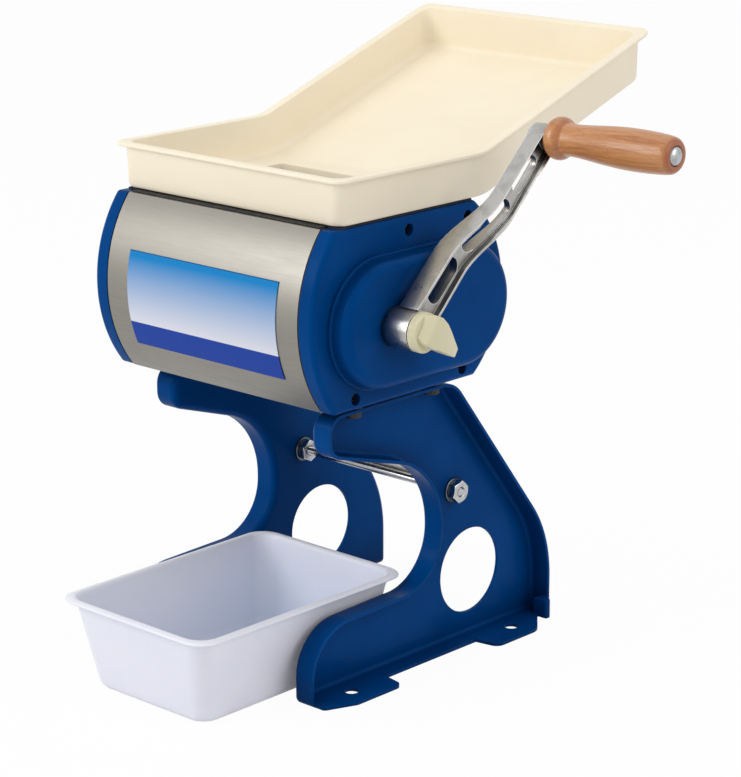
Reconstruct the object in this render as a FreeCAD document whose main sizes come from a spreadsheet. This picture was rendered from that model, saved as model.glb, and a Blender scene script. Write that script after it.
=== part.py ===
"""Hand-cranked jerky slicer, in millimetres.

The origin is the middle of the four base holes, on the surface that the slicer
stands on. X runs to the crank's side, Y to the back and Z up. Two pressed legs
carry a drum-shaped housing. In it two shafts with round blades turn against each
other, driven by the crank through a pair of equal gears. Meat goes in through
the tray on top and drops as strips into the box between the legs.
"""
import FreeCAD, Part
import math
import os

import Sketcher

OUT = "parts"
X_AXIS = FreeCAD.Vector(1, 0, 0)
Y_AXIS = FreeCAD.Vector(0, 1, 0)
Z_AXIS = FreeCAD.Vector(0, 0, 1)
ALONG_X = FreeCAD.Rotation(Y_AXIS, 90)
TOUCH = 1e-4            # how near a face or edge must be to a plane to lie in it
GRIP_STATIONS = (0.0, 0.057, 0.216, 0.41, 0.68, 0.886, 0.955, 1.0)  # along the grip
GRIP_EASE = 0.76        # radius of a rounded end over the one beside it

DRIVING = {
    # legs
    "leg_step": 3.0,            # how far a leg's web stands in from its side plate
    "leg_sheet": 2.0,
    "leg_flange": 16.0,         # width of the turned edge, sheet included
    "leg_bend": 4.5,
    "leg_top": 178.0,
    "leg_foot_front": 108.3,    # foot's tip, forwards of the origin
    "leg_foot_rear": 116.0,
    "sole_round": 3.0,
    "foot_top": 47.5,
    "foot_round": 33.0,
    "foot_rise": 3.0,           # how much higher the foot's top is at the recess
    "throat_y": 7.8,            # deepest point of the front recess
    "throat_round_low": 35.0,
    "throat_round_high": 52.0,
    "neck_root_z": 125.0,       # where the neck's underside would meet that point
    "neck_rise": 28.0,          # rise of the neck's underside to its nose
    "right_nose_y": 91.5,
    "left_nose_y": 80.0,
    "nose_round": 11.5,
    "back_kink_z": 55.0,
    "back_round": 85.0,
    "back_top_y": 20.0,
    "back_top_round": 22.0,
    "lighten_y": 51.5,
    "lighten_z": 43.4,
    "lighten_d": 56.0,
    "base_hole_out": 17.5,      # from the leg's web, as the tabs' sizes below
    "base_hole_y": 75.3,
    "base_hole_d": 9.0,
    "tab_out": 32.6,
    "tab_nib_out": 24.0,        # outer corner of the front tab at the foot's tip
    "tab_nib_round": 3.0,
    "front_tab_tip": 106.0,
    "front_tab_wide": 85.3,     # where the front tab reaches its full width
    "front_tab_end": 46.0,
    "rear_tab_start": 42.0,
    "rear_tab_wide": 84.0,      # where the rear tab starts to narrow
    "rear_tab_end": 104.0,
    "nub_out": 22.5,            # rounded nub at the rear end of a leg's sole
    "nub_start": 105.0,
    "nub_skew": 109.0,
    "nub_end": 114.0,
    "nub_high": 12.0,
    "tab_slant": 3.0,
    "tab_round": 6.0,
    # tie rod
    "rod_y": 35.0,
    "rod_z": 101.0,
    "rod_d": 6.0,
    "rod_tip": 1.2,             # thread that shows past the outer nut
    "nut_across": 13.0,
    "nut_thick": 5.5,
    "washer_d": 16.0,
    "washer_thick": 1.6,
    # housing drum
    "housing_lift": 5.0,        # from the legs' tops to the drum
    "housing_high": 109.5,
    "front_arc_r": 86.0,
    "front_room": 54.4,         # from the crank's shaft to the drum's front
    "rear_arc_r": 70.0,
    "rear_room": 49.0,
    "wrap_half": 81.4,
    "wrap_sheet": 1.0,
    "front_lip": 17.0,          # how far a sheet folds in over top and bottom
    "rear_lip": 4.0,
    "plate_sink": 1.4,          # how far a side plate stands inside the wraps' ends
    "plate_thick": 12.0,
    "fit_gap": 0.3,             # between a piece and the one it sits in
    "seam_thick": 1.0,
    "seam_inset": 0.5,
    "seam_width": 1.2,
    "cover_depth": 10.8,
    "cover_wall": 2.5,
    "cover_round": 3.0,
    "pod_depth": 14.0,          # from the cover's face to the pod's
    "pod_base_r": 40.5,
    "pod_base_rise": 2.6,
    "pod_r": 38.2,
    "pod_margin": 1.5,
    "pod_round": 6.0,
    "pod_hole_d": 21.0,
    "screw_top_front": 28.3,    # behind the crank's shaft
    "screw_top_rear": 15.0,      # behind the rear shaft
    "screw_low_front": 18.0,    # ahead of the crank's shaft
    "screw_low_rear": 10.8,     # behind the rear shaft
    "screw_top_in": 8.5,        # below the drum's top
    "screw_low_in": 6.95,       # above its underside
    "screw_d": 4.0,
    "screw_tail": 3.0,          # plate left under a screw's point
    "screw_head_d": 7.0,
    "screw_head": 4.0,
    "screw_sink": 2.6,
    "boss_d": 9.2,
    "leg_bolt_d": 6.0,
    "leg_bolt_front": 64.8,
    "leg_bolt_rear": -5.0,
    "leg_bolt_out": 1.0,        # outwards from the middle of a side plate
    "leg_bolt_head": 4.0,
    "leg_bolt_across": 9.0,
    "leg_bolt_grip": 14.0,
    # shafts, blades and gears
    "shaft_y": -63.8,
    "shaft_low": 4.35,          # below the drum's middle
    "shaft_apart": 66.0,
    "arbor_d": 20.0,
    "journal_d": 16.0,
    "run_gap": 0.04,            # radial play of a journal
    "shaft_past": 6.0,          # past the left side plate
    "shaft_nose": 1.8,          # past the driven gear's clip
    "bushing_d": 20.0,
    "blade_d": 70.0,
    "blade_thick": 1.2,
    "blade_count": 16,
    "stack_end": 6.65,          # from a side plate to the nearest blade
    "blade_shear": 0.3,         # gap between a front blade and its partner
    "spacer_d": 30.0,
    "comb_bar": 8.0,
    "comb_finger": 3.0,
    "comb_drop": 26.0,
    "comb_out": 34.3,
    "comb_gap": 1.5,
    "gear_teeth": 33,
    "gear_thick": 12.0,
    "gear_out": 8.0,            # from the side plate to the gears
    "gear_hub_d": 24.0,
    "gear_backlash": 0.25,
    "clip_d": 21.0,
    "clip_thick": 1.2,
    # crank
    "crank_end_d": 14.0,
    "crank_stub": 19.5,         # from the pod's face to the shaft's shoulder
    "crank_thread_d": 8.0,
    "crank_thread": 7.5,
    "crank_gap": 0.4,           # between the pod's face and the crank's hub
    "crank_hub_d": 24.0,
    "hub_past": 0.5,            # past the shaft's shoulder
    "crank_angle": 44.4,
    "crank_radius": 144.8,
    "arm_clear": 4.5,           # from the pod's face to the arm
    "arm_depth": 14.5,
    "arm_tip_depth": 11.5,
    "arm_ramp_start": 51.0,
    "arm_ramp_end": 96.0,
    "arm_offset": 16.0,         # how far the arm steps out over the ramp
    "arm_root_width": 19.5,
    "arm_tip_width": 15.0,
    "arm_rail": 2.5,
    "arm_web": 6.0,
    "arm_skew": 3.0,            # how much earlier the front face's ramp starts
    "slot_margin": 3.4,
    "slot_land": 0.5,           # web left between a slot and a rail
    "root_bridge": 5.0,         # from the hub to the first bridge's middle
    "ramp_bridge": 4.0,         # from an end of the ramp to a bridge's middle
    "tip_boss": 0.5,            # how far the tip's boss stands out of the arm
    "knob_base": 6.0,
    "knob_high": 13.0,
    "knob_crown": 4.0,          # width of the wing's level top
    "knob_wing_low": 1.5,
    "knob_tip_high": 1.0,       # how much higher the wing's tip is than the base
    "knob_root_left": 9.6,
    "knob_root_right": 10.2,
    "knob_root_back": 5.4,
    "knob_reach": 29.5,
    "knob_tip_width": 6.2,
    "knob_angle": 31.0,         # how far the wing's tip hangs below the level
    "grip_gap": 0.5,
    "grip_length": 90.3,
    "grip_head_d": 25.9,
    "grip_neck_d": 19.5,
    "grip_belly_d": 25.0,
    "grip_end_d": 22.4,
    "grip_bolt_d": 7.0,
    "grip_bore_gap": 0.08,
    "grip_bolt_tail": 1.0,
    "bolt_head_d": 12.0,
    "bolt_head": 4.0,
    "bolt_sink": 1.5,
    "grip_nut_thick": 3.0,
    "grip_nut_across": 10.0,
    # tray
    "tray_over": 10.6,          # how far the floor stands past the wraps' ends
    "tray_flare": 0.8,          # how much wider a wall is at its top
    "tray_depth": 28.5,
    "tray_wall": 2.5,
    "tray_front": 93.2,
    "tray_kink_y": 34.2,
    "tray_slope": 19.4,
    "tray_run": 162.5,          # length of the sloping floor
    "tray_lean": 0.8,           # how far the front wall leans out
    "tray_rear_lean": 9.5,      # the same for the rear wall, to stand upright on its slope
    "tray_corner": 9.0,
    "tray_floor_round": 5.0,
    "rim_width": 4.3,
    "rim_thick": 2.5,
    "pad_thick": 0.9,           # gasket under the tray
    "pad_in": 2.0,              # inwards from the tray's walls
    "pad_front": 33.5,          # ahead of the crank's shaft
    "pad_tongue": 1.4,          # inwards from the wraps' ends, ahead of the tray
    "pad_rear": 22.0,           # behind the rear shaft
    "mouth_in": 3.2,            # from a side plate to the mouth
    "mouth_ahead": 12.2,        # ahead of the crank's shaft
    "mouth_behind": 15.8,       # behind the rear shaft
    "throat_drop": 13.0,
    "throat_wall": 2.0,
    # box
    "box_x": 5.5,
    "box_y": -99.0,
    "box_in": 5.5,              # how much narrower its half is at the rim than the legs' gap
    "box_half_y": 84.3,
    "box_lean": 11.0,
    "box_high": 59.0,
    "box_wall": 2.0,
    "box_corner": 15.0,
    "box_round": 4.0,
    "box_rim": 4.6,
    "box_rim_thick": 3.5,
    # label and deflector
    "label_left": -63.0,
    "label_right": 64.0,
    "label_below": 35.25,       # from the drum's middle to the lower edge
    "label_above": 24.25,
    "label_thick": 0.35,
    "label_gap": 0.2,
    "deflector_half": 45.0,
    "deflector_sheet": 1.0,
    "deflector_top_y": 14.0,
    "deflector_lip": 12.0,
}


class Size:
    """A length that follows the sheet: its value, and the expression behind it."""

    def __init__(self, value, text):
        self.value = float(value)
        self.text = text

    def __float__(self):
        return self.value

    def __add__(self, other):
        other = size(other)
        return Size(self.value + other.value, f"({self.text} + {other.text})")

    def __sub__(self, other):
        other = size(other)
        return Size(self.value - other.value, f"({self.text} - {other.text})")

    def __mul__(self, other):
        other = size(other)
        return Size(self.value * other.value, f"({self.text} * {other.text})")

    def __truediv__(self, other):
        other = size(other)
        return Size(self.value / other.value, f"({self.text} / {other.text})")

    def __neg__(self):
        return Size(-self.value, f"(0 - {self.text})")

    def __radd__(self, other):
        return size(other) + self

    def __rsub__(self, other):
        return size(other) - self

    def __rmul__(self, other):
        return size(other) * self


def size(value):
    """Return the value as a Size; a plain number is its own expression."""
    return value if isinstance(value, Size) else Size(value, f"{float(value):.6f}")


class Dims:
    """The driving dimensions, kept in the document's sheet."""

    def __init__(self, doc, driving):
        sheet = doc.addObject("Spreadsheet::Sheet", "dims")
        for row, (name, value) in enumerate(driving.items(), start=1):
            sheet.set(f"A{row}", name)
            sheet.set(f"B{row}", str(value))
            sheet.setAlias(f"B{row}", name)
        doc.recompute()
        self.sheet = sheet

    def __getattr__(self, name):
        return Size(getattr(self.sheet, name), f"dims.{name}")


DOC = FreeCAD.newDocument("jerky_slicer")
DIM = Dims(DOC, DRIVING)

HOUSING_BOTTOM = DIM.leg_top + DIM.housing_lift
HOUSING_TOP = HOUSING_BOTTOM + DIM.housing_high
MID_Z = (HOUSING_BOTTOM + HOUSING_TOP) / 2
SHAFT_Z = MID_Z - DIM.shaft_low
REAR_SHAFT_Y = DIM.shaft_y + DIM.shaft_apart
FRONT_ARC_Y = DIM.shaft_y - DIM.front_room + DIM.front_arc_r
REAR_ARC_Y = REAR_SHAFT_Y + DIM.rear_room - DIM.rear_arc_r

PLATE_OUTER = DIM.wrap_half - DIM.plate_sink
PLATE_INNER = PLATE_OUTER - DIM.plate_thick
PLATE_INSET = DIM.wrap_sheet + DIM.fit_gap
COVER_BACK = DIM.wrap_half + DIM.seam_thick
COVER_FACE = COVER_BACK + DIM.cover_depth
POD_FACE = COVER_FACE + DIM.pod_depth
SCREW_SPOTS = (
    (DIM.shaft_y + DIM.screw_top_front, HOUSING_TOP - DIM.screw_top_in),
    (REAR_SHAFT_Y + DIM.screw_top_rear, HOUSING_TOP - DIM.screw_top_in),
    (DIM.shaft_y - DIM.screw_low_front, HOUSING_BOTTOM + DIM.screw_low_in),
    (REAR_SHAFT_Y + DIM.screw_low_rear, HOUSING_BOTTOM + DIM.screw_low_in),
)

LEG_WEB = PLATE_INNER - DIM.leg_step
LIP_X = LEG_WEB + DIM.leg_flange
LEG_BOLT_X = (PLATE_INNER + PLATE_OUTER) / 2 + DIM.leg_bolt_out
BASE_HOLE_X = LEG_WEB + DIM.base_hole_out
TAB_X = LEG_WEB + DIM.tab_out
TAB_NIB_X = LEG_WEB + DIM.tab_nib_out
NUB_X = LEG_WEB + DIM.nub_out

SHAFT_LEFT = PLATE_OUTER + DIM.shaft_past
GEAR_LEFT = PLATE_OUTER + DIM.gear_out
REAR_SHAFT_END = GEAR_LEFT + DIM.gear_thick + DIM.clip_thick + DIM.shaft_nose
STACK = (PLATE_INNER - DIM.stack_end) * 2
BLADE_PITCH = (STACK - DIM.blade_thick * 2 - DIM.blade_shear) / (DIM.blade_count - 1)

CRANK_END = POD_FACE + DIM.crank_stub
CRANK_THREAD = CRANK_END + DIM.crank_thread
HUB_END = CRANK_END + DIM.hub_past
ARM_BACK = POD_FACE + DIM.arm_clear
ARM_FRONT = ARM_BACK + DIM.arm_depth
TIP_BACK = ARM_BACK + DIM.arm_offset
TIP_FRONT = TIP_BACK + DIM.arm_tip_depth
KNOB_TOP = HUB_END + DIM.knob_high

TRAY_FLOOR = HOUSING_TOP + DIM.pad_thick + DIM.fit_gap
TRAY_HALF = DIM.wrap_half + DIM.tray_over
MOUTH_HALF = PLATE_INNER - DIM.mouth_in
MOUTH_FRONT = DIM.mouth_ahead - DIM.shaft_y
MOUTH_REAR = REAR_SHAFT_Y + DIM.mouth_behind
BOX_HALF_X = LEG_WEB - DIM.box_in
LABEL_LOW = MID_Z - DIM.label_below
LABEL_HIGH = MID_Z + DIM.label_above


# ---------------------------------------------------------------- small helpers

def bind(thing, **sizes):
    """Tie properties of a document object to the sheet."""
    for name, length in sizes.items():
        thing.setExpression(name, size(length).text)


def place(thing, x=0, y=0, z=0, turn=None):
    """Put an object at a place that follows the sheet, turned as given."""
    if turn is not None:
        thing.Placement = FreeCAD.Placement(FreeCAD.Vector(), turn)
    for axis, length in (("x", x), ("y", y), ("z", z)):
        thing.setExpression(f"Placement.Base.{axis}", size(length).text)


def add(kind, label):
    """Add a document object under its own label."""
    thing = DOC.addObject(kind, label)
    thing.Label = label
    return thing


def plane(body, role):
    """Return the origin plane or axis of a body with this role."""
    return next(item for item in body.Origin.OriginFeatures if item.Role == role)


def new_sketch(body, role, height=0):
    """Attach a new sketch to an origin plane of its body, shifted along its normal."""
    sketch = body.newObject("Sketcher::SketchObject", "sketch")
    sketch.AttachmentSupport = [(plane(body, role), "")]
    sketch.MapMode = "FlatFace"
    sketch.setExpression("AttachmentOffset.Base.z", size(height).text)
    return sketch


def hold(sketch, kind, first, second, length):
    """Add one dimension to a sketch and tie it to the sheet."""
    length = size(length)
    if kind == "Radius":
        index = sketch.addConstraint(Sketcher.Constraint(kind, first, length.value))
    else:
        index = sketch.addConstraint(Sketcher.Constraint(kind, -1, 1, first, second, length.value))
    sketch.setExpression(f"Constraints[{index}]", length.text)


def hold_point(sketch, geometry, point, across, up):
    """Fix a point of a sketch by its distances from the origin."""
    hold(sketch, "DistanceX", geometry, point, across)
    hold(sketch, "DistanceY", geometry, point, up)


def circle(sketch, across, up, diameter):
    """Draw a dimensioned circle."""
    across, up, diameter = size(across), size(up), size(diameter)
    centre = FreeCAD.Vector(across.value, up.value, 0)
    index = sketch.addGeometry(Part.Circle(centre, Z_AXIS, diameter.value / 2))
    hold_point(sketch, index, 3, across, up)
    hold(sketch, "Radius", index, None, diameter / 2)


def corner_arc(before, corner, after, radius):
    """Return the tangent points and centre of a rounded corner, and its side."""
    back = (before - corner).normalize()
    ahead = (after - corner).normalize()
    half = back.getAngle(ahead) / 2
    reach = radius / math.tan(half)
    middle = (back + ahead).normalize()
    centre = corner + middle * (radius / math.sin(half))
    turns_left = (corner - before).cross(after - corner).z > 0
    return corner + back * reach, corner + ahead * reach, centre, turns_left


def outline(sketch, corners):
    """Draw a closed outline through (across, up, radius) corners, each dimensioned.

    A radius of 0 leaves the corner sharp.
    """
    corners = [tuple(size(item) for item in corner) for corner in corners]
    points = [FreeCAD.Vector(a.value, b.value, 0) for a, b, _ in corners]
    count = len(points)
    starts, ends, arcs = [], [], []
    for i, (_, _, radius) in enumerate(corners):
        if radius.value > 0:
            before, after = points[i - 1], points[(i + 1) % count]
            start, end, centre, left = corner_arc(before, points[i], after, radius.value)
        else:
            start, end, centre, left = points[i], points[i], None, True
        starts.append(start)
        ends.append(end)
        arcs.append((centre, left))
    for i in range(count):
        sketch.addGeometry(Part.LineSegment(ends[i], starts[(i + 1) % count]))
    for i, (across, up, radius) in enumerate(corners):
        incoming = (i - 1) % count
        centre, left = arcs[i]
        if centre is None:
            sketch.addConstraint(Sketcher.Constraint("Coincident", incoming, 2, i, 1))
            hold_point(sketch, i, 1, across, up)
            continue
        first, last = (starts[i], ends[i]) if left else (ends[i], starts[i])
        begin = math.atan2(first.y - centre.y, first.x - centre.x)
        finish = math.atan2(last.y - centre.y, last.x - centre.x)
        if finish < begin:
            finish += 2 * math.pi
        ring = Part.Circle(centre, Z_AXIS, radius.value)
        arc = sketch.addGeometry(Part.ArcOfCircle(ring, begin, finish))
        mark = sketch.addGeometry(Part.Point(points[i]), True)
        near, far = (1, 2) if left else (2, 1)
        sketch.addConstraint([
            Sketcher.Constraint("Tangent", incoming, 2, arc, near),
            Sketcher.Constraint("Tangent", arc, far, i, 1),
            Sketcher.Constraint("PointOnObject", mark, 1, incoming),
            Sketcher.Constraint("PointOnObject", mark, 1, i),
        ])
        hold(sketch, "Radius", arc, None, radius)
        hold_point(sketch, mark, 1, across, up)


def inset(corners, distance):
    """Return the corners of an outline moved inwards, for outlines drawn clockwise."""
    points = [FreeCAD.Vector(float(a), float(b), 0) for a, b, _ in corners]
    distance = float(distance)
    moved = []
    for i, (_, _, radius) in enumerate(corners):
        before, after = points[i - 1], points[(i + 1) % len(points)]
        first = (points[i] - before).normalize()
        second = (after - points[i]).normalize()
        sideways = (first + second).cross(Z_AXIS).normalize()
        reach = distance / sideways.dot(first.cross(Z_AXIS))
        convex = first.cross(second).z < 0
        corner = points[i] + sideways * reach
        moved.append((corner.x, corner.y, float(radius) - distance * (1 if convex else -1)))
    return moved


def rectangle(sketch, left, low, right, high, radius=0):
    """Draw a dimensioned rectangle with equal corner radii."""
    corners = ((left, low), (right, low), (right, high), (left, high))
    outline(sketch, [(a, b, radius) for a, b in corners])


def stadium(sketch, left, right, up, radius):
    """Draw two half circles joined by tangent lines, the long way level."""
    left, right, up, radius = size(left), size(right), size(up), size(radius)
    ends = []
    for centre, begin in ((left, math.pi / 2), (right, -math.pi / 2)):
        ring = Part.Circle(FreeCAD.Vector(centre.value, up.value, 0), Z_AXIS, radius.value)
        ends.append(sketch.addGeometry(Part.ArcOfCircle(ring, begin, begin + math.pi)))
        hold_point(sketch, ends[-1], 3, centre, up)
        hold(sketch, "Radius", ends[-1], None, radius)
    for first, last, side in ((ends[0], ends[1], -1), (ends[1], ends[0], 1)):
        a = FreeCAD.Vector((left if side < 0 else right).value, up.value + side * radius.value, 0)
        b = FreeCAD.Vector((right if side < 0 else left).value, up.value + side * radius.value, 0)
        line = sketch.addGeometry(Part.LineSegment(a, b))
        sketch.addConstraint([
            Sketcher.Constraint("Tangent", first, 2, line, 1),
            Sketcher.Constraint("Tangent", line, 2, last, 1),
        ])


def drum(sketch, inset):
    """Draw the housing's outline, moved inwards by the inset."""
    inset = size(inset)
    half = (HOUSING_TOP - HOUSING_BOTTOM) / 2 - inset
    arcs = []
    for centre, radius, turn in (
        (FRONT_ARC_Y, DIM.front_arc_r - inset, math.pi),
        (REAR_ARC_Y, DIM.rear_arc_r - inset, 0.0),
    ):
        reach = math.asin(half.value / radius.value)
        ring = Part.Circle(FreeCAD.Vector(centre.value, MID_Z.value, 0), Z_AXIS, radius.value)
        arc = sketch.addGeometry(Part.ArcOfCircle(ring, turn - reach, turn + reach))
        hold_point(sketch, arc, 3, centre, MID_Z)
        hold(sketch, "Radius", arc, None, radius)
        arcs.append(arc)
    front, rear = arcs
    shapes = [sketch.Geometry[arc] for arc in arcs]
    low = Part.LineSegment(shapes[0].EndPoint, shapes[1].StartPoint)
    high = Part.LineSegment(shapes[1].EndPoint, shapes[0].StartPoint)
    for line, first, last, level in (
        (low, front, rear, MID_Z - half),
        (high, rear, front, MID_Z + half),
    ):
        index = sketch.addGeometry(line)
        sketch.addConstraint([
            Sketcher.Constraint("Coincident", first, 2, index, 1),
            Sketcher.Constraint("Coincident", index, 2, last, 1),
            Sketcher.Constraint("Horizontal", index),
        ])
        hold(sketch, "DistanceY", index, 1, level)


def pad(body, sketch, length, backwards=False, midplane=False):
    """Pad a sketch of a body."""
    feature = body.newObject("PartDesign::Pad", "pad")
    feature.Profile = sketch
    feature.Reversed = backwards
    feature.Midplane = midplane
    bind(feature, Length=length)
    return feature


def pocket(body, sketch, length, forwards=False, midplane=False):
    """Cut a sketch into a body, and check that it removes something."""
    DOC.recompute()
    before = body.Shape.Volume
    feature = body.newObject("PartDesign::Pocket", "pocket")
    feature.Profile = sketch
    feature.Reversed = forwards
    feature.Midplane = midplane
    bind(feature, Length=length)
    DOC.recompute()
    if body.Shape.Volume >= before:
        raise RuntimeError(f"a pocket of {body.Label} removes nothing")
    return feature


def edges_where(shape, test):
    """Return the names of the edges that pass a test."""
    return [f"Edge{i}" for i, edge in enumerate(shape.Edges, start=1) if test(edge)]


def in_plane(edge, axis, level):
    """Say whether an edge lies in the plane across an axis at this level."""
    box = edge.BoundBox
    low, high = getattr(box, f"{axis}Min"), getattr(box, f"{axis}Max")
    return abs(low - float(level)) < TOUCH and abs(high - float(level)) < TOUCH


def fillet(body, radius, test):
    """Round the edges of a body that pass a test."""
    DOC.recompute()
    base = body.Tip
    feature = body.newObject("PartDesign::Fillet", "fillet")
    feature.Base = (base, edges_where(base.Shape, test))
    bind(feature, Radius=radius)
    return feature


def new_body(label):
    """Add an empty PartDesign body."""
    return add("PartDesign::Body", label)


def mirrored(label, source):
    """Add the left-hand copy of a right-hand piece."""
    copy = add("Part::Mirroring", label)
    copy.Source = source
    copy.Normal = X_AXIS
    return copy


def group(label, members):
    """Put equal pieces, each its own solid, under one label."""
    together = add("Part::Compound", label)
    together.Links = members
    return together


def rod(label, left, length, y, z, diameter):
    """Add a cylinder along X."""
    piece = add("Part::Cylinder", label)
    bind(piece, Radius=size(diameter) / 2, Height=length)
    place(piece, left, y, z, ALONG_X)
    return piece


def ring(label, left, length, y, z, outer, bore):
    """Add a ring whose axis runs along X."""
    piece = add("Part::Cut", label)
    piece.Base = rod(f"{label}_outer", left, length, y, z, outer)
    piece.Tool = rod(f"{label}_bore", left, length, y, z, bore)
    return piece


def feature(label, shape):
    """Add a piece whose shape is worked out here."""
    piece = add("Part::Feature", label)
    piece.Shape = shape
    return piece


def plate_hole(body, spots, diameter, start, depth):
    """Drill equal holes along X into a body, from a start towards the middle."""
    sketch = new_sketch(body, "YZ_Plane", start)
    for y, z in spots:
        circle(sketch, y, z, diameter)
    return pocket(body, sketch, depth)


# ---------------------------------------------------------------------- the legs

def leg_corners(nose_y):
    """Return the corners of a leg's outline, seen from the crank's side."""
    return (
        (-DIM.leg_foot_front, 0, DIM.sole_round),
        (-DIM.leg_foot_front, DIM.foot_top, DIM.foot_round),
        (DIM.throat_y, DIM.foot_top + DIM.foot_rise, DIM.throat_round_low),
        (DIM.throat_y, DIM.neck_root_z, DIM.throat_round_high),
        (-nose_y, DIM.neck_root_z + DIM.neck_rise, DIM.nose_round),
        (-nose_y, DIM.leg_top, DIM.nose_round),
        (DIM.back_top_y, DIM.leg_top, DIM.back_top_round),
        (DIM.leg_foot_rear, DIM.back_kink_z, DIM.back_round),
        (DIM.leg_foot_rear, 0, DIM.sole_round),
    )


def tabs():
    """Return the outlines of a leg's two mounting tabs, seen from above."""
    root = LIP_X - DIM.leg_bend
    reach = TAB_X
    slant = DIM.tab_slant
    front = (
        (root, -DIM.front_tab_tip, 0),
        (TAB_NIB_X, -DIM.front_tab_tip, DIM.tab_nib_round),
        (reach, -DIM.front_tab_wide, DIM.tab_round),
        (reach, -DIM.front_tab_end, DIM.tab_round),
        (LIP_X, slant - DIM.front_tab_end, 0),
        (root, slant - DIM.front_tab_end, 0),
    )
    rear = (
        (root, DIM.rear_tab_start, 0),
        (LIP_X, DIM.rear_tab_start, 0),
        (reach, DIM.rear_tab_start + slant, DIM.tab_round),
        (reach, DIM.rear_tab_wide, DIM.tab_round * 2),
        (LIP_X, DIM.rear_tab_end, 0),
        (root, DIM.rear_tab_end, 0),
    )
    return front, rear


def pressed_leg(label, nose_y):
    """Press a leg from sheet: a flat web with its edge turned outwards all round."""
    body = new_body(label)
    corners = leg_corners(nose_y)
    sketch = new_sketch(body, "YZ_Plane", LEG_WEB)
    outline(sketch, corners)
    pad(body, sketch, DIM.leg_flange)
    fillet(body, DIM.leg_bend, lambda edge: in_plane(edge, "X", LEG_WEB))
    hollow = new_sketch(body, "YZ_Plane", LIP_X)
    outline(hollow, inset(corners, DIM.leg_sheet))
    pocket(body, hollow, DIM.leg_flange - DIM.leg_sheet)
    web_face = LEG_WEB + DIM.leg_sheet
    fillet(body, DIM.leg_bend - DIM.leg_sheet, lambda edge: in_plane(edge, "X", web_face))
    nub = new_sketch(body, "XY_Plane")
    root = LIP_X - DIM.leg_bend
    outline(nub, (
        (root, DIM.nub_start, 0),
        (NUB_X, DIM.nub_start, DIM.tab_nib_round / 2),
        (NUB_X, DIM.nub_skew, DIM.tab_nib_round / 2),
        (LIP_X, DIM.nub_end, DIM.tab_nib_round / 2),
        (root, DIM.nub_end, 0),
    ))
    pad(body, nub, DIM.nub_high)
    for corners in tabs():
        tab = new_sketch(body, "XY_Plane")
        outline(tab, corners)
        pad(body, tab, DIM.leg_sheet)
    plate_hole(body, [(DIM.lighten_y, DIM.lighten_z)], DIM.lighten_d, web_face, DIM.leg_sheet)
    plate_hole(body, [(DIM.rod_y, DIM.rod_z)], DIM.rod_d + DIM.fit_gap, web_face, DIM.leg_sheet)
    base = new_sketch(body, "XY_Plane", DIM.leg_sheet)
    for side in (-1, 1):
        circle(base, BASE_HOLE_X, DIM.base_hole_y * side, DIM.base_hole_d)
    pocket(body, base, DIM.leg_sheet)
    top = new_sketch(body, "XY_Plane", DIM.leg_top)
    for spot in (DIM.leg_bolt_front, DIM.leg_bolt_rear):
        circle(top, LEG_BOLT_X, -spot, DIM.leg_bolt_d + DIM.fit_gap)
    pocket(body, top, DIM.leg_sheet)
    return body


def hex_nut(label, across, thick, bore):
    """Add a hexagonal nut, lying flat at the origin."""
    blank = add("Part::Prism", f"{label}_blank")
    blank.Polygon = 6
    bind(blank, Circumradius=size(across) / math.sqrt(3), Height=thick)
    hole = add("Part::Cylinder", f"{label}_hole")
    bind(hole, Radius=size(bore) / 2, Height=thick)
    nut = add("Part::Cut", label)
    nut.Base = blank
    nut.Tool = hole
    return nut


def tie_rod_set():
    """Join the legs by a threaded rod with a nut and washer on both sides of each."""
    inner_washer = LEG_WEB - DIM.washer_thick
    outer_washer = LEG_WEB + DIM.leg_sheet
    outer_nut = outer_washer + DIM.washer_thick
    reach = outer_nut + DIM.nut_thick + DIM.rod_tip
    pieces = [rod("tie_rod", -reach, reach * 2, DIM.rod_y, DIM.rod_z, DIM.rod_d)]
    washers, nuts = [], []
    lefts = {
        "right_in": (inner_washer, inner_washer - DIM.nut_thick),
        "right_out": (outer_washer, outer_nut),
        "left_in": (-LEG_WEB, DIM.washer_thick - LEG_WEB),
        "left_out": (-outer_nut, -outer_nut - DIM.nut_thick),
    }
    for name, (washer_x, nut_x) in lefts.items():
        washers.append(ring(f"rod_washer_{name}", washer_x, DIM.washer_thick, DIM.rod_y, DIM.rod_z,
                            DIM.washer_d, DIM.rod_d))
        nut = hex_nut(f"rod_nut_{name}", DIM.nut_across, DIM.nut_thick, DIM.rod_d)
        place(nut, nut_x, DIM.rod_y, DIM.rod_z, ALONG_X)
        nuts.append(nut)
    return pieces + [group("tie_rod_washers", washers), group("tie_rod_nuts", nuts)]


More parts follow.
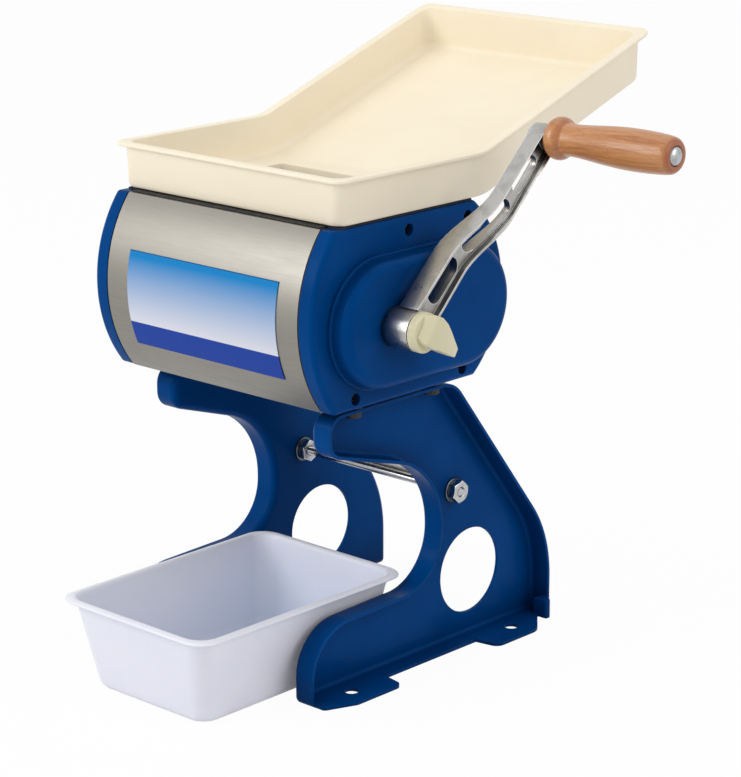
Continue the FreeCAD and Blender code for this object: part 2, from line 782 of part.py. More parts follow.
def leg_fasteners():
    """Bolt each leg's top edge up into its side plate, over two spacers."""
    bolts, spacers = [], []
    under = DIM.leg_top - DIM.leg_sheet
    lift = HOUSING_BOTTOM + PLATE_INSET - DIM.leg_top
    for side in (-1, 1):
        for name, spot in (("front", DIM.leg_bolt_front), ("rear", DIM.leg_bolt_rear)):
            tag = f"{name}_{'left' if side < 0 else 'right'}"
            head = add("Part::Prism", f"bolt_head_{tag}")
            head.Polygon = 6
            bind(head, Circumradius=DIM.leg_bolt_across / math.sqrt(3), Height=DIM.leg_bolt_head)
            place(head, LEG_BOLT_X * side, -spot, under - DIM.leg_bolt_head)
            shank = add("Part::Cylinder", f"bolt_shank_{tag}")
            bind(shank, Radius=DIM.leg_bolt_d / 2, Height=DIM.leg_sheet + lift + DIM.leg_bolt_grip)
            place(shank, LEG_BOLT_X * side, -spot, under)
            bolt = add("Part::Fuse", f"leg_bolt_{tag}")
            bolt.Base = head
            bolt.Tool = shank
            bolts.append(bolt)
            blank = add("Part::Cylinder", f"spacer_blank_{tag}")
            bind(blank, Radius=DIM.leg_bolt_d, Height=lift)
            hole = add("Part::Cylinder", f"spacer_hole_{tag}")
            bind(hole, Radius=DIM.leg_bolt_d / 2, Height=lift)
            for piece in (blank, hole):
                place(piece, LEG_BOLT_X * side, -spot, DIM.leg_top)
            spacer = add("Part::Cut", f"leg_spacer_{tag}")
            spacer.Base = blank
            spacer.Tool = hole
            spacers.append(spacer)
    return [group("leg_bolts", bolts), group("leg_spacers", spacers)]


# ------------------------------------------------------------------- the housing

def shaft_spots():
    """Return the two shafts' places in a side plate."""
    return [(DIM.shaft_y, SHAFT_Z), (REAR_SHAFT_Y, SHAFT_Z)]


def right_plate():
    """Cast the plate that carries the bushings, the combs and the covers."""
    body = new_body("right_side_plate")
    sketch = new_sketch(body, "YZ_Plane", PLATE_INNER)
    drum(sketch, PLATE_INSET)
    pad(body, sketch, DIM.plate_thick)
    plate_hole(body, shaft_spots(), DIM.bushing_d, PLATE_OUTER, DIM.plate_thick)
    plate_hole(body, SCREW_SPOTS, DIM.screw_d, PLATE_OUTER, DIM.plate_thick - DIM.screw_tail)
    bolts = new_sketch(body, "XY_Plane", HOUSING_BOTTOM)
    for spot in (DIM.leg_bolt_front, DIM.leg_bolt_rear):
        circle(bolts, LEG_BOLT_X, -spot, DIM.leg_bolt_d)
    pocket(body, bolts, DIM.leg_bolt_grip + PLATE_INSET, forwards=True)
    return body


def drum_tool(label, inset, left, length):
    """Add a solid drum of the housing's outline, as stock for thin pieces."""
    body = new_body(label)
    sketch = new_sketch(body, "YZ_Plane", left)
    drum(sketch, inset)
    pad(body, sketch, length)
    return body


def wraps():
    """Fold a stainless sheet over the front of the drum and one over the back."""
    shell = add("Part::Cut", "wrap_shell")
    shell.Base = drum_tool("wrap_outside", 0, -DIM.wrap_half, DIM.wrap_half * 2)
    shell.Tool = drum_tool("wrap_inside", DIM.wrap_sheet, -DIM.wrap_half, DIM.wrap_half * 2)
    half = (HOUSING_TOP - HOUSING_BOTTOM) / 2
    front_reach = math.sqrt(DIM.front_arc_r.value ** 2 - half.value ** 2)
    rear_reach = math.sqrt(DIM.rear_arc_r.value ** 2 - half.value ** 2)
    front_end = FRONT_ARC_Y - front_reach + DIM.front_lip
    rear_end = REAR_ARC_Y + rear_reach - DIM.rear_lip
    pieces = []
    for label, start in (
        ("front_wrap", front_end - DIM.front_arc_r * 2),
        ("rear_wrap", rear_end),
    ):
        window = add("Part::Box", f"{label}_window")
        bind(window, Length=DIM.wrap_half * 2, Width=DIM.front_arc_r * 2,
             Height=HOUSING_TOP - HOUSING_BOTTOM)
        place(window, -DIM.wrap_half, start, HOUSING_BOTTOM)
        wrap = add("Part::Common", label)
        wrap.Base = shell
        wrap.Tool = window
        pieces.append(wrap)
    return pieces


def right_seam():
    """Cut the black gasket between the wrap and the cover."""
    seam = add("Part::Cut", "right_seam")
    seam.Base = drum_tool("seam_outside", DIM.seam_inset, DIM.wrap_half, DIM.seam_thick)
    seam.Tool = drum_tool("seam_inside", DIM.seam_inset + DIM.seam_width, DIM.wrap_half,
                          DIM.seam_thick)
    return seam


def pod_sketch(body, radius, height):
    """Draw the gear pod's outline round both shafts."""
    sketch = new_sketch(body, "YZ_Plane", height)
    stadium(sketch, DIM.shaft_y - DIM.pod_margin, REAR_SHAFT_Y + DIM.pod_margin,
            SHAFT_Z, radius)
    return sketch


def cover(label, with_pod):
    """Mould an end cover: a shallow cap with screw bosses and, at the crank, a gear pod."""
    body = new_body(label)
    sketch = new_sketch(body, "YZ_Plane", COVER_BACK)
    drum(sketch, 0)
    pad(body, sketch, COVER_FACE - COVER_BACK)
    fillet(body, DIM.cover_round, lambda edge: edge.BoundBox.XLength > 1)
    fillet(body, DIM.cover_round, lambda edge: in_plane(edge, "X", COVER_FACE))
    base_top = COVER_FACE + DIM.pod_base_rise
    if with_pod:
        pad(body, pod_sketch(body, DIM.pod_base_r, COVER_FACE - 1), DIM.pod_base_rise + 1)
        fillet(body, DIM.pod_base_rise / 2, lambda edge: in_plane(edge, "X", base_top))
        pad(body, pod_sketch(body, DIM.pod_r, base_top - 1), POD_FACE - base_top + 1)
        fillet(body, DIM.pod_round, lambda edge: in_plane(edge, "X", POD_FACE))
    inside = new_sketch(body, "YZ_Plane", COVER_BACK)
    drum(inside, DIM.cover_wall)
    pocket(body, inside, COVER_FACE - DIM.cover_wall - COVER_BACK, forwards=True)
    if with_pod:
        hollow = pod_sketch(body, DIM.pod_r - DIM.cover_wall, COVER_BACK)
        pocket(body, hollow, POD_FACE - DIM.cover_wall - COVER_BACK, forwards=True)
        plate_hole(body, [(DIM.shaft_y, SHAFT_Z)], DIM.pod_hole_d, POD_FACE,
                   DIM.cover_wall * 2)
    bosses = new_sketch(body, "YZ_Plane", PLATE_OUTER)
    for y, z in SCREW_SPOTS:
        circle(bosses, y, z, DIM.boss_d)
    pad(body, bosses, COVER_FACE - DIM.cover_wall / 2 - PLATE_OUTER)
    seat = COVER_FACE - DIM.screw_sink
    plate_hole(body, SCREW_SPOTS, DIM.screw_head_d + DIM.fit_gap * 2, COVER_FACE,
               DIM.screw_sink + DIM.screw_head)
    plate_hole(body, SCREW_SPOTS, DIM.screw_d + DIM.fit_gap, seat, seat - PLATE_OUTER)
    return body


def cover_screws(label, side):
    """Add the four recessed screws of a cover as one group."""
    screws = []
    head_x = COVER_FACE - DIM.screw_sink - DIM.screw_head
    start = PLATE_INNER + DIM.screw_tail
    for number, (y, z) in enumerate(SCREW_SPOTS, start=1):
        head = rod(f"{label}_head_{number}", head_x, DIM.screw_head, y, z, DIM.screw_head_d)
        shank = rod(f"{label}_shank_{number}", start, head_x - start, y, z, DIM.screw_d)
        screw = add("Part::Fuse", f"{label}_{number}")
        screw.Base = head
        screw.Tool = shank
        if side < 0:
            screw = mirrored(f"{label}_left_{number}", screw)
        screws.append(screw)
    return group(label, screws)


def bushings():
    """Press a bronze bushing into each of the four plate bores."""
    rings = []
    bore = DIM.journal_d + DIM.run_gap * 2
    for left, side in ((PLATE_INNER, "right"), (-PLATE_OUTER, "left")):
        for number, (y, z) in enumerate(shaft_spots(), start=1):
            rings.append(ring(f"bushing_{side}_{number}", left, DIM.plate_thick, y, z,
                              DIM.bushing_d, bore))
    return group("shaft_bushings", rings)


def label_plate():
    """Bend the front label round the drum."""
    outer = rod("label_outer", DIM.label_left, DIM.label_right - DIM.label_left,
                FRONT_ARC_Y, MID_Z, (DIM.front_arc_r + DIM.label_gap + DIM.label_thick) * 2)
    inner = rod("label_inner", DIM.label_left, DIM.label_right - DIM.label_left,
                FRONT_ARC_Y, MID_Z, (DIM.front_arc_r + DIM.label_gap) * 2)
    sleeve = add("Part::Cut", "label_sleeve")
    sleeve.Base = outer
    sleeve.Tool = inner
    window = add("Part::Box", "label_window")
    bind(window, Length=DIM.label_right - DIM.label_left, Width=DIM.front_arc_r * 2,
         Height=LABEL_HIGH - LABEL_LOW)
    place(window, DIM.label_left, FRONT_ARC_Y - DIM.front_arc_r * 2, LABEL_LOW)
    label = add("Part::Common", "label_plate")
    label.Base = sleeve
    label.Tool = window
    return label


def deflector():
    """Hang a sheet from the housing down behind the tie rod, to guide the strips."""
    body = new_body("rear_deflector")
    sketch = new_sketch(body, "YZ_Plane")
    top = HOUSING_BOTTOM
    low = DIM.rod_z - DIM.rod_d / 2
    face_y = DIM.rod_y + DIM.rod_d / 2
    sheet = DIM.deflector_sheet
    outline(sketch, (
        (face_y, low, 0),
        (face_y + sheet, low, 0),
        (face_y + sheet, DIM.rod_z + DIM.rod_d, 0),
        (DIM.deflector_top_y + sheet, top - sheet, 0),
        (DIM.deflector_top_y + DIM.deflector_lip, top - sheet, 0),
        (DIM.deflector_top_y + DIM.deflector_lip, top, 0),
        (DIM.deflector_top_y, top, 0),
        (face_y, DIM.rod_z + DIM.rod_d, 0),
    ))
    pad(body, sketch, DIM.deflector_half * 2, midplane=True)
    return body


# ------------------------------------------------------- shafts, blades and gears

def shaft(label, y, stations):
    """Turn a shaft along X from its (x, diameter) stations."""
    body = new_body(label)
    place(body, 0, y, SHAFT_Z)
    sketch = new_sketch(body, "XZ_Plane")
    corners = [(stations[0][0], 0, 0)]
    for (start, diameter), (end, _) in zip(stations, stations[1:]):
        corners.append((start, size(diameter) / 2, 0))
        corners.append((end, size(diameter) / 2, 0))
    corners.append((stations[-1][0], 0, 0))
    outline(sketch, corners)
    turning = body.newObject("PartDesign::Revolution", "turning")
    turning.Profile = sketch
    turning.ReferenceAxis = (plane(body, "X_Axis"), [""])
    turning.Angle = 360
    return body


def shafts():
    """Turn the crank's shaft and the shaft that the gears drive."""
    arbor = PLATE_INNER - DIM.fit_gap
    front = shaft("front_shaft", DIM.shaft_y, (
        (-SHAFT_LEFT, DIM.journal_d),
        (-arbor, DIM.arbor_d),
        (arbor, DIM.journal_d),
        (POD_FACE, DIM.crank_end_d),
        (CRANK_END, DIM.crank_thread_d),
        (CRANK_THREAD, 0),
    ))
    rear = shaft("rear_shaft", REAR_SHAFT_Y, (
        (-SHAFT_LEFT, DIM.journal_d),
        (-arbor, DIM.arbor_d),
        (arbor, DIM.journal_d),
        (REAR_SHAFT_END, 0),
    ))
    return [front, rear]


def blade_stack(name, y, first):
    """Stack blades and spacers along an arbor; return a group of each."""
    count = int(DIM.blade_count.value)
    blades, spacers = [], []
    end = PLATE_INNER - DIM.fit_gap * 2
    left = size(first)
    spacers.append(ring(f"{name}_spacer_0", -end, left + end, y, SHAFT_Z,
                        DIM.spacer_d, DIM.arbor_d))
    for number in range(1, count + 1):
        blades.append(ring(f"{name}_blade_{number}", left, DIM.blade_thick, y, SHAFT_Z,
                           DIM.blade_d, DIM.arbor_d))
        after = left + DIM.blade_thick
        gap = BLADE_PITCH - DIM.blade_thick if number < count else end - after
        spacers.append(ring(f"{name}_spacer_{number}", after, gap, y, SHAFT_Z,
                            DIM.spacer_d, DIM.arbor_d))
        left = left + BLADE_PITCH
    return [group(f"{name}_blades", blades), group(f"{name}_spacers", spacers)]


def first_blade():
    """Return where the first front blade stands, with the two stacks centred."""
    run = BLADE_PITCH * (DIM.blade_count - 1) + DIM.blade_thick * 2 + DIM.blade_shear
    return -run / 2


def comb(label, y, side, first):
    """Fuse a comb: a bar between the plates with a finger in each gap of the stack."""
    bar_y = size(y) + DIM.comb_out * side
    bar_z = SHAFT_Z - DIM.comb_drop
    span = PLATE_INNER.value
    half = DIM.comb_bar.value / 2
    solid = Part.makeBox(span * 2, half * 2, half * 2,
                         FreeCAD.Vector(-span, bar_y.value - half, bar_z.value - half))
    reach = math.hypot(DIM.comb_out.value, DIM.comb_drop.value)
    length = reach - DIM.spacer_d.value / 2 - DIM.comb_gap.value
    gap = BLADE_PITCH.value - DIM.blade_thick.value
    middle = first.value + DIM.blade_thick.value + gap / 2
    up = math.degrees(math.atan2(DIM.comb_drop.value, DIM.comb_out.value))
    turn = FreeCAD.Rotation(X_AXIS, 180 - up if side > 0 else up)
    thick = DIM.comb_finger.value
    for number in range(int(DIM.blade_count.value) - 1):
        finger = Part.makeBox(thick, length, half * 2, FreeCAD.Vector(-thick / 2, 0, -half))
        centre = middle + number * BLADE_PITCH.value
        place_at = FreeCAD.Vector(centre, bar_y.value, bar_z.value)
        finger.Placement = FreeCAD.Placement(place_at, turn)
        solid = solid.fuse(finger)
    return feature(label, solid.removeSplitter())


def involute(base, radius, angle):
    """Return the point of an involute at a radius, turned by an angle."""
    roll = math.sqrt(max((radius / base) ** 2 - 1, 0))
    turn = roll - math.atan(roll) + angle
    return FreeCAD.Vector(radius * math.cos(turn), radius * math.sin(turn), 0)


def gear_shape():
    """Return a spur gear with involute flanks, its axis on Z and a tooth on X."""
    teeth = int(DIM.gear_teeth.value)
    pitch_r = DIM.shaft_apart.value / 2
    module = 2 * pitch_r / teeth
    pressure = math.radians(20)
    base = pitch_r * math.cos(pressure)
    tip, root = pitch_r + module, pitch_r - 1.25 * module
    flank_low = max(base, root)
    half = math.pi / 2 / teeth - DIM.gear_backlash.value / 2 / pitch_r
    start = math.tan(pressure) - pressure + half
    radii = [flank_low + (tip - flank_low) * step / 4 for step in range(5)]
    edges = []
    for number in range(teeth):
        middle = 2 * math.pi * number / teeth
        rising = [involute(base, r, 0) for r in radii]
        rising = [turned(p, middle - start) for p in rising]
        falling = [turned(mirror_y(involute(base, r, 0)), middle + start) for r in reversed(radii)]
        foot = turned(FreeCAD.Vector(root, 0, 0), math.atan2(rising[0].y, rising[0].x))
        heel = turned(FreeCAD.Vector(root, 0, 0), math.atan2(falling[-1].y, falling[-1].x))
        edges.append(Part.LineSegment(foot, rising[0]).toShape())
        for flank in (rising, falling):
            curve = Part.BSplineCurve()
            curve.interpolate(flank)
            edges.append(curve.toShape())
            if flank is rising:
                top = turned(FreeCAD.Vector(tip, 0, 0), middle)
                edges.append(Part.Arc(rising[-1], top, falling[0]).toShape())
        edges.append(Part.LineSegment(falling[-1], heel).toShape())
        step = math.pi / teeth
        valley = turned(FreeCAD.Vector(root, 0, 0), middle + step)
        following = turned(foot, 2 * step)
        edges.append(Part.Arc(heel, valley, following).toShape())
    wire = Part.Wire(Part.__sortEdges__(edges))
    return Part.Face(wire).extrude(FreeCAD.Vector(0, 0, DIM.gear_thick.value))


def turned(point, angle):
    """Return a point turned about the origin."""
    cosine, sine = math.cos(angle), math.sin(angle)
    return FreeCAD.Vector(point.x * cosine - point.y * sine, point.x * sine + point.y * cosine, 0)


def mirror_y(point):
    """Return a point mirrored in the X axis."""
    return FreeCAD.Vector(point.x, -point.y, 0)


def gear(label, y):
    """Add a gear with a hub that reaches back to its bushing."""
    hub_start = PLATE_OUTER.value + DIM.fit_gap.value
    hub_long = GEAR_LEFT.value - hub_start
    hub = Part.makeCylinder(DIM.gear_hub_d.value / 2, hub_long, FreeCAD.Vector(0, 0, -hub_long))
    total = hub_long + DIM.gear_thick.value
    bore = Part.makeCylinder(DIM.journal_d.value / 2, total, FreeCAD.Vector(0, 0, -hub_long))
    piece = feature(label, gear_shape().fuse(hub).cut(bore))
    # a tooth on the sketch's X axis points along +Y here
    turn = FreeCAD.Rotation(Y_AXIS, Z_AXIS, X_AXIS, "ZXY")
    piece.Placement = FreeCAD.Placement(
        FreeCAD.Vector(GEAR_LEFT.value, size(y).value, SHAFT_Z.value), turn)
    return piece


def clip(label, y):
    """Add the ring that keeps a gear on its shaft."""
    return ring(label, GEAR_LEFT + DIM.gear_thick, DIM.clip_thick, y, SHAFT_Z,
                DIM.clip_d, DIM.journal_d)


# --------------------------------------------------------------------- the crank

def shaft_frame(degrees):
    """Return a frame on the crank's shaft: X out at an angle, Y across it, Z along it."""
    angle = math.radians(degrees)
    out = FreeCAD.Vector(0, math.cos(angle), math.sin(angle))
    across = FreeCAD.Vector(0, -math.sin(angle), math.cos(angle))
    turn = FreeCAD.Rotation(out, across, X_AXIS, "ZXY")
    return FreeCAD.Placement(FreeCAD.Vector(0, DIM.shaft_y.value, SHAFT_Z.value), turn)


def smooth_side(back, front, tip_back, tip_front):
    """Return a face of the arm's side view between a back and a front line."""
    start, end = DIM.arm_ramp_start.value, DIM.arm_ramp_end.value
    reach = DIM.crank_radius.value
    ease = (end - start) * 0.45
    edges = []
    for low, high, lead in ((back, tip_back, 0.0), (front, tip_front, -DIM.arm_skew.value)):
        a = FreeCAD.Vector(0, 0, low)
        b = FreeCAD.Vector(start + lead, 0, low)
        c = FreeCAD.Vector(end + lead, 0, high)
        d = FreeCAD.Vector(reach, 0, high)
        curve = Part.BezierCurve()
        curve.setPoles([b, b + X_AXIS * ease * 0.6, c - X_AXIS * ease, c])
        edges.append([a, b, curve, c, d])
    rear, fore = edges
    wire = Part.Wire([
        Part.makeLine(rear[0], rear[1]), rear[2].toShape(), Part.makeLine(rear[3], rear[4]),
        Part.makeLine(rear[4], fore[4]),
        Part.makeLine(fore[4], fore[3]), fore[2].toShape(), Part.makeLine(fore[1], fore[0]),
        Part.makeLine(fore[0], rear[0]),
    ])
    return Part.Face(wire)


def arm_plan(inset):
    """Return the arm's front view, tapered from hub to tip, as a deep solid."""
    root, tip = DIM.arm_root_width.value / 2 - inset, DIM.arm_tip_width.value / 2 - inset
    reach = DIM.crank_radius.value
    depth = CRANK_END.value * 2
    corners = [
        FreeCAD.Vector(0, -root, 0), FreeCAD.Vector(reach, -tip, 0),
        FreeCAD.Vector(reach, tip, 0), FreeCAD.Vector(0, root, 0),
    ]
    return Part.Face(Part.makePolygon(corners + corners[:1])).extrude(Z_AXIS * depth)


def slot(start, end):
    """Return the tool for one slot of the arm, rounded at both ends."""
    taper = (DIM.arm_root_width.value - DIM.arm_tip_width.value) / 2 / DIM.crank_radius.value
    middle = (start + end) / 2
    half = DIM.arm_root_width.value / 2 - taper * middle
    half -= DIM.arm_rail.value + DIM.slot_land.value
    depth = CRANK_END.value * 2
    tool = Part.makeBox(end - start - 2 * half, 2 * half, depth,
                        FreeCAD.Vector(start + half, -half, 0))
    for place_at in (start + half, end - half):
        tool = tool.fuse(Part.makeCylinder(half, depth, FreeCAD.Vector(place_at, 0, 0)))
    return tool


def crank_arm():
    """Cast the arm: two rails on a thin pierced web, stepping outwards to the tip."""
    width = DIM.arm_root_width.value
    back, front = ARM_BACK.value, ARM_FRONT.value
    tip_back, tip_front = TIP_BACK.value, TIP_FRONT.value
    lift = Y_AXIS * width
    body = smooth_side(back, front, tip_back, tip_front)
    body.translate(Y_AXIS * (-width / 2))
    body = body.extrude(lift)
    half_web = DIM.arm_web.value / 2
    middle, tip_middle = (back + front) / 2, (tip_back + tip_front) / 2
    web = smooth_side(middle - half_web, middle + half_web, tip_middle - half_web,
                      tip_middle + half_web)
    web.translate(Y_AXIS * (-width / 2))
    web = web.extrude(lift)
    rails = body.common(arm_plan(0).cut(arm_plan(DIM.arm_rail.value)))
    web = web.common(arm_plan(0))
    reach = DIM.crank_radius.value
    hub_r = DIM.crank_hub_d.value / 2
    margin = DIM.slot_margin.value
    over_ramp = DIM.ramp_bridge.value
    bridges = (
        hub_r + DIM.root_bridge.value,
        DIM.arm_ramp_start.value + over_ramp,
        DIM.arm_ramp_end.value + over_ramp,
        reach - DIM.arm_tip_width.value / 2 - over_ramp,
    )
    for start, end in zip(bridges, bridges[1:]):
        web = web.cut(slot(start + margin, end - margin))
    hub_start = POD_FACE.value + DIM.crank_gap.value
    hub = Part.makeCylinder(hub_r, HUB_END.value - hub_start,
                            FreeCAD.Vector(0, 0, hub_start))
    proud = DIM.tip_boss.value
    boss = Part.makeCylinder(DIM.arm_tip_width.value / 2 + proud, tip_front - tip_back + 2 * proud,
                             FreeCAD.Vector(reach, 0, tip_back - proud))
    arm = rails.fuse([web, hub, boss])
    bore = Part.makeCylinder(DIM.crank_end_d.value / 2, HUB_END.value)
    thread = Part.makeCylinder(DIM.grip_bolt_d.value / 2, HUB_END.value * 2,
                               FreeCAD.Vector(reach, 0, 0))
    piece = feature("crank_arm", arm.cut([bore, thread]).removeSplitter())
    piece.Placement = shaft_frame(DIM.crank_angle.value)
    return piece


def wing_knob():
    """Mould the knob that holds the crank on: a round base with one broad wing."""
    start = HUB_END.value
    base_r = DIM.crank_hub_d.value / 2
    base_top = start + DIM.knob_base.value
    top = KNOB_TOP.value
    base = Part.makeCylinder(base_r, base_top - start, FreeCAD.Vector(0, 0, start))
    half, crown = DIM.knob_tip_width.value / 2, DIM.knob_crown.value / 2
    reach, back = DIM.knob_reach.value, DIM.knob_root_back.value
    plan = [
        FreeCAD.Vector(-back, -DIM.knob_root_left.value, start),
        FreeCAD.Vector(reach, -half, start),
        FreeCAD.Vector(reach, half, start),
        FreeCAD.Vector(-back, DIM.knob_root_right.value, start),
    ]
    wing = Part.Face(Part.makePolygon(plan + plan[:1])).extrude(Z_AXIS * (top - start))
    side = [
        FreeCAD.Vector(-base_r, 0, start),
        FreeCAD.Vector(reach, 0, start + DIM.knob_wing_low.value),
        FreeCAD.Vector(reach, 0, base_top + DIM.knob_tip_high.value),
        FreeCAD.Vector(crown, 0, top),
        FreeCAD.Vector(-crown, 0, top),
        FreeCAD.Vector(-base_r, 0, base_top),
    ]
    profile = Part.Face(Part.makePolygon(side + side[:1]))
    profile.translate(Y_AXIS * -base_r)
    wing = wing.common(profile.extrude(Y_AXIS * base_r * 2))
    hole = Part.makeCylinder(DIM.crank_thread_d.value / 2,
                             CRANK_THREAD.value - start, FreeCAD.Vector(0, 0, start))
    piece = feature("wing_knob", base.fuse(wing).cut(hole).removeSplitter())
    piece.Placement = shaft_frame(-DIM.knob_angle.value)
    return piece


def at_tip(label, shape):
    """Add a piece turned about Z at the crank's tip."""
    piece = feature(label, shape)
    frame = shaft_frame(DIM.crank_angle.value)
    tip = frame.multVec(FreeCAD.Vector(DIM.crank_radius.value, 0, 0))
    piece.Placement = FreeCAD.Placement(tip, frame.Rotation)
    return piece


def handle():
    """Turn the wooden grip, and the bolt that it spins on with its nut."""
    boss_front = TIP_FRONT.value + DIM.tip_boss.value
    start = boss_front + DIM.grip_gap.value
    length = DIM.grip_length.value
    end = start + length
    head, neck = DIM.grip_head_d.value / 2, DIM.grip_neck_d.value / 2
    belly, tail = DIM.grip_belly_d.value / 2, DIM.grip_end_d.value / 2
    first, last = head * GRIP_EASE, tail * GRIP_EASE
    radii = (first, head, neck, (neck + belly) / 2, belly, (belly + tail) / 2, tail, last)
    profile = Part.BSplineCurve()
    profile.interpolate([FreeCAD.Vector(radius, 0, start + length * along)
                         for radius, along in zip(radii, GRIP_STATIONS)])
    bore = DIM.grip_bolt_d.value / 2 + DIM.grip_bore_gap.value
    seat_r = DIM.bolt_head_d.value / 2 + DIM.grip_bore_gap.value
    seat_x = end - DIM.bolt_head.value + DIM.bolt_sink.value
    corners = [
        FreeCAD.Vector(last, 0, end), FreeCAD.Vector(seat_r, 0, end),
        FreeCAD.Vector(seat_r, 0, seat_x), FreeCAD.Vector(bore, 0, seat_x),
        FreeCAD.Vector(bore, 0, start), FreeCAD.Vector(first, 0, start),
    ]
    wire = Part.Wire([profile.toShape()] + Part.makePolygon(corners).Edges)
    grip = Part.Face(wire).revolve(FreeCAD.Vector(), Z_AXIS, 360)
    nut_face = TIP_BACK.value - DIM.tip_boss.value
    shank_start = nut_face - DIM.grip_nut_thick.value - DIM.grip_bolt_tail.value
    head_x = seat_x + DIM.grip_bore_gap.value
    shank = Part.makeCylinder(DIM.grip_bolt_d.value / 2, head_x - shank_start,
                              FreeCAD.Vector(0, 0, shank_start))
    cap = Part.makeCylinder(DIM.bolt_head_d.value / 2, DIM.bolt_head.value,
                            FreeCAD.Vector(0, 0, head_x))
    dome = [edge for edge in cap.Edges if in_plane(edge, "Z", head_x + DIM.bolt_head.value)]
    cap = cap.makeFillet(DIM.bolt_head.value / 2, dome)
    bolt = shank.fuse(cap).removeSplitter()
    nut_r = DIM.grip_nut_across.value / math.sqrt(3)
    around = [math.pi * corner / 3 for corner in range(7)]
    corners = [FreeCAD.Vector(nut_r * math.cos(turn), nut_r * math.sin(turn), nut_face)
               for turn in around]
    nut = Part.Face(Part.makePolygon(corners)).extrude(Z_AXIS * -DIM.grip_nut_thick.value)
    nut = nut.cut(shank)
    return [at_tip("handle_grip", grip), at_tip("handle_bolt", bolt), at_tip("handle_nut", nut)]


# --------------------------------------------------------------- the tray and box

def quad(half, front, rear, high):
    """Return a level four-cornered wire, from front to rear."""
    corners = [
        FreeCAD.Vector(-half, front, high), FreeCAD.Vector(half, front, high),
        FreeCAD.Vector(half, rear, high), FreeCAD.Vector(-half, rear, high),
    ]
    return Part.makePolygon(corners + corners[:1])


def tray_block(floor_half, top_half, low, high, front_low, front_high, rear_low, rear_high):
    """Return a solid tray: a level part and a sloping part that meet in a mitre.

    Lengths of the sloping part run up along the slope from the kink.
    """
    turn = DIM.tray_slope.value
    kink = FreeCAD.Vector(0, DIM.tray_kink_y.value, TRAY_FLOOR.value)
    lean = math.tan(math.radians(turn / 2))
    level = Part.makeLoft([
        quad(floor_half, -front_low - kink.y, -low * lean, low),
        quad(top_half, -front_high - kink.y, -high * lean, high),
    ], True, True)
    slope = Part.makeLoft([
        quad(floor_half, low * lean, rear_low, low),
        quad(top_half, high * lean, rear_high, high),
    ], True, True)
    slope.rotate(FreeCAD.Vector(), X_AXIS, turn)
    solid = level.fuse(slope).removeSplitter()
    solid.translate(kink)
    return solid


def round_corners(solid, radius):
    """Round the four upright corners of a tray or rim."""
    reach = [edge for edge in solid.Edges if upright(edge)]
    return solid.makeFillet(radius, reach)


def upright(edge):
    """Say whether a straight edge runs more up than along."""
    first, last = edge.Vertexes[0].Point, edge.Vertexes[-1].Point
    run = last - first
    at_end = abs(first.y - DIM.tray_kink_y.value) > DIM.tray_depth.value
    return at_end and abs(run.z) > math.hypot(run.x, run.y)


def hopper_tray():
    """Mould the tray: a level feeding end, a sloping rest, a rim and a short throat."""
    depth, wall = DIM.tray_depth.value, DIM.tray_wall.value
    half, flare = TRAY_HALF.value, DIM.tray_flare.value
    front, run = DIM.tray_front.value, DIM.tray_run.value
    lean, rear_lean = DIM.tray_lean.value, DIM.tray_rear_lean.value
    radius = DIM.tray_corner.value
    outside = round_corners(tray_block(half, half + flare, 0, depth, front, front + lean,
                                       run, run + rear_lean), radius)
    over = 2.0
    more = (depth + over) / depth
    less = wall / depth
    inside = round_corners(tray_block(
        half - wall + flare * less, half - wall + flare * more, wall, depth + over,
        front - wall + lean * less, front - wall + lean * more,
        run - wall + rear_lean * less, run - wall + rear_lean * more), radius - wall)
    floor_edges = [edge for edge in inside.Edges if near_floor(edge, wall)]
    inside = inside.makeFillet(DIM.tray_floor_round.value, floor_edges)
    rim, edge_half = DIM.rim_width.value, half + flare
    low = depth - DIM.rim_thick.value
    lip = round_corners(tray_block(edge_half + rim, edge_half + rim, low, depth,
                                   front + lean + rim, front + lean + rim,
                                   run + rear_lean + rim, run + rear_lean + rim), radius)
    mouth = MOUTH_HALF.value
    long = MOUTH_REAR.value + MOUTH_FRONT.value
    side = DIM.throat_wall.value
    drop = DIM.throat_drop.value
    floor = TRAY_FLOOR.value
    throat = Part.makeBox((mouth + side) * 2, long + 2 * side, drop + wall / 2,
                          FreeCAD.Vector(-mouth - side, -MOUTH_FRONT.value - side, floor - drop))
    opening = Part.makeBox(mouth * 2, long, drop * 2 + wall,
                           FreeCAD.Vector(-mouth, -MOUTH_FRONT.value, floor - drop * 2 + wall + 1))
    solid = outside.fuse(lip).cut(inside).fuse(throat).cut(opening)
    return feature("hopper_tray", solid.removeSplitter())


def tray_gasket():
    """Cut the black gasket that the tray stands on, open in its middle for the throat."""
    body = new_body("tray_gasket")
    half = TRAY_HALF - DIM.pad_in
    tongue = DIM.wrap_half - DIM.pad_tongue
    front = DIM.shaft_y - DIM.pad_front
    wide_from = DIM.pad_in - DIM.tray_front
    rear = REAR_SHAFT_Y + DIM.pad_rear
    sketch = new_sketch(body, "XY_Plane", HOUSING_TOP)
    outline(sketch, (
        (-tongue, front, 0),
        (tongue, front, 0),
        (tongue, wide_from, 0),
        (half, wide_from, 0),
        (half, rear, 0),
        (-half, rear, 0),
        (-half, wide_from, 0),
        (-tongue, wide_from, 0),
    ))
    pad(body, sketch, DIM.pad_thick)
    side = DIM.throat_wall + DIM.fit_gap
    hole = new_sketch(body, "XY_Plane", HOUSING_TOP)
    rectangle(hole, -MOUTH_HALF - side, -MOUTH_FRONT - side, MOUTH_HALF + side, MOUTH_REAR + side)
    pocket(body, hole, DIM.pad_thick, forwards=True)
    return body


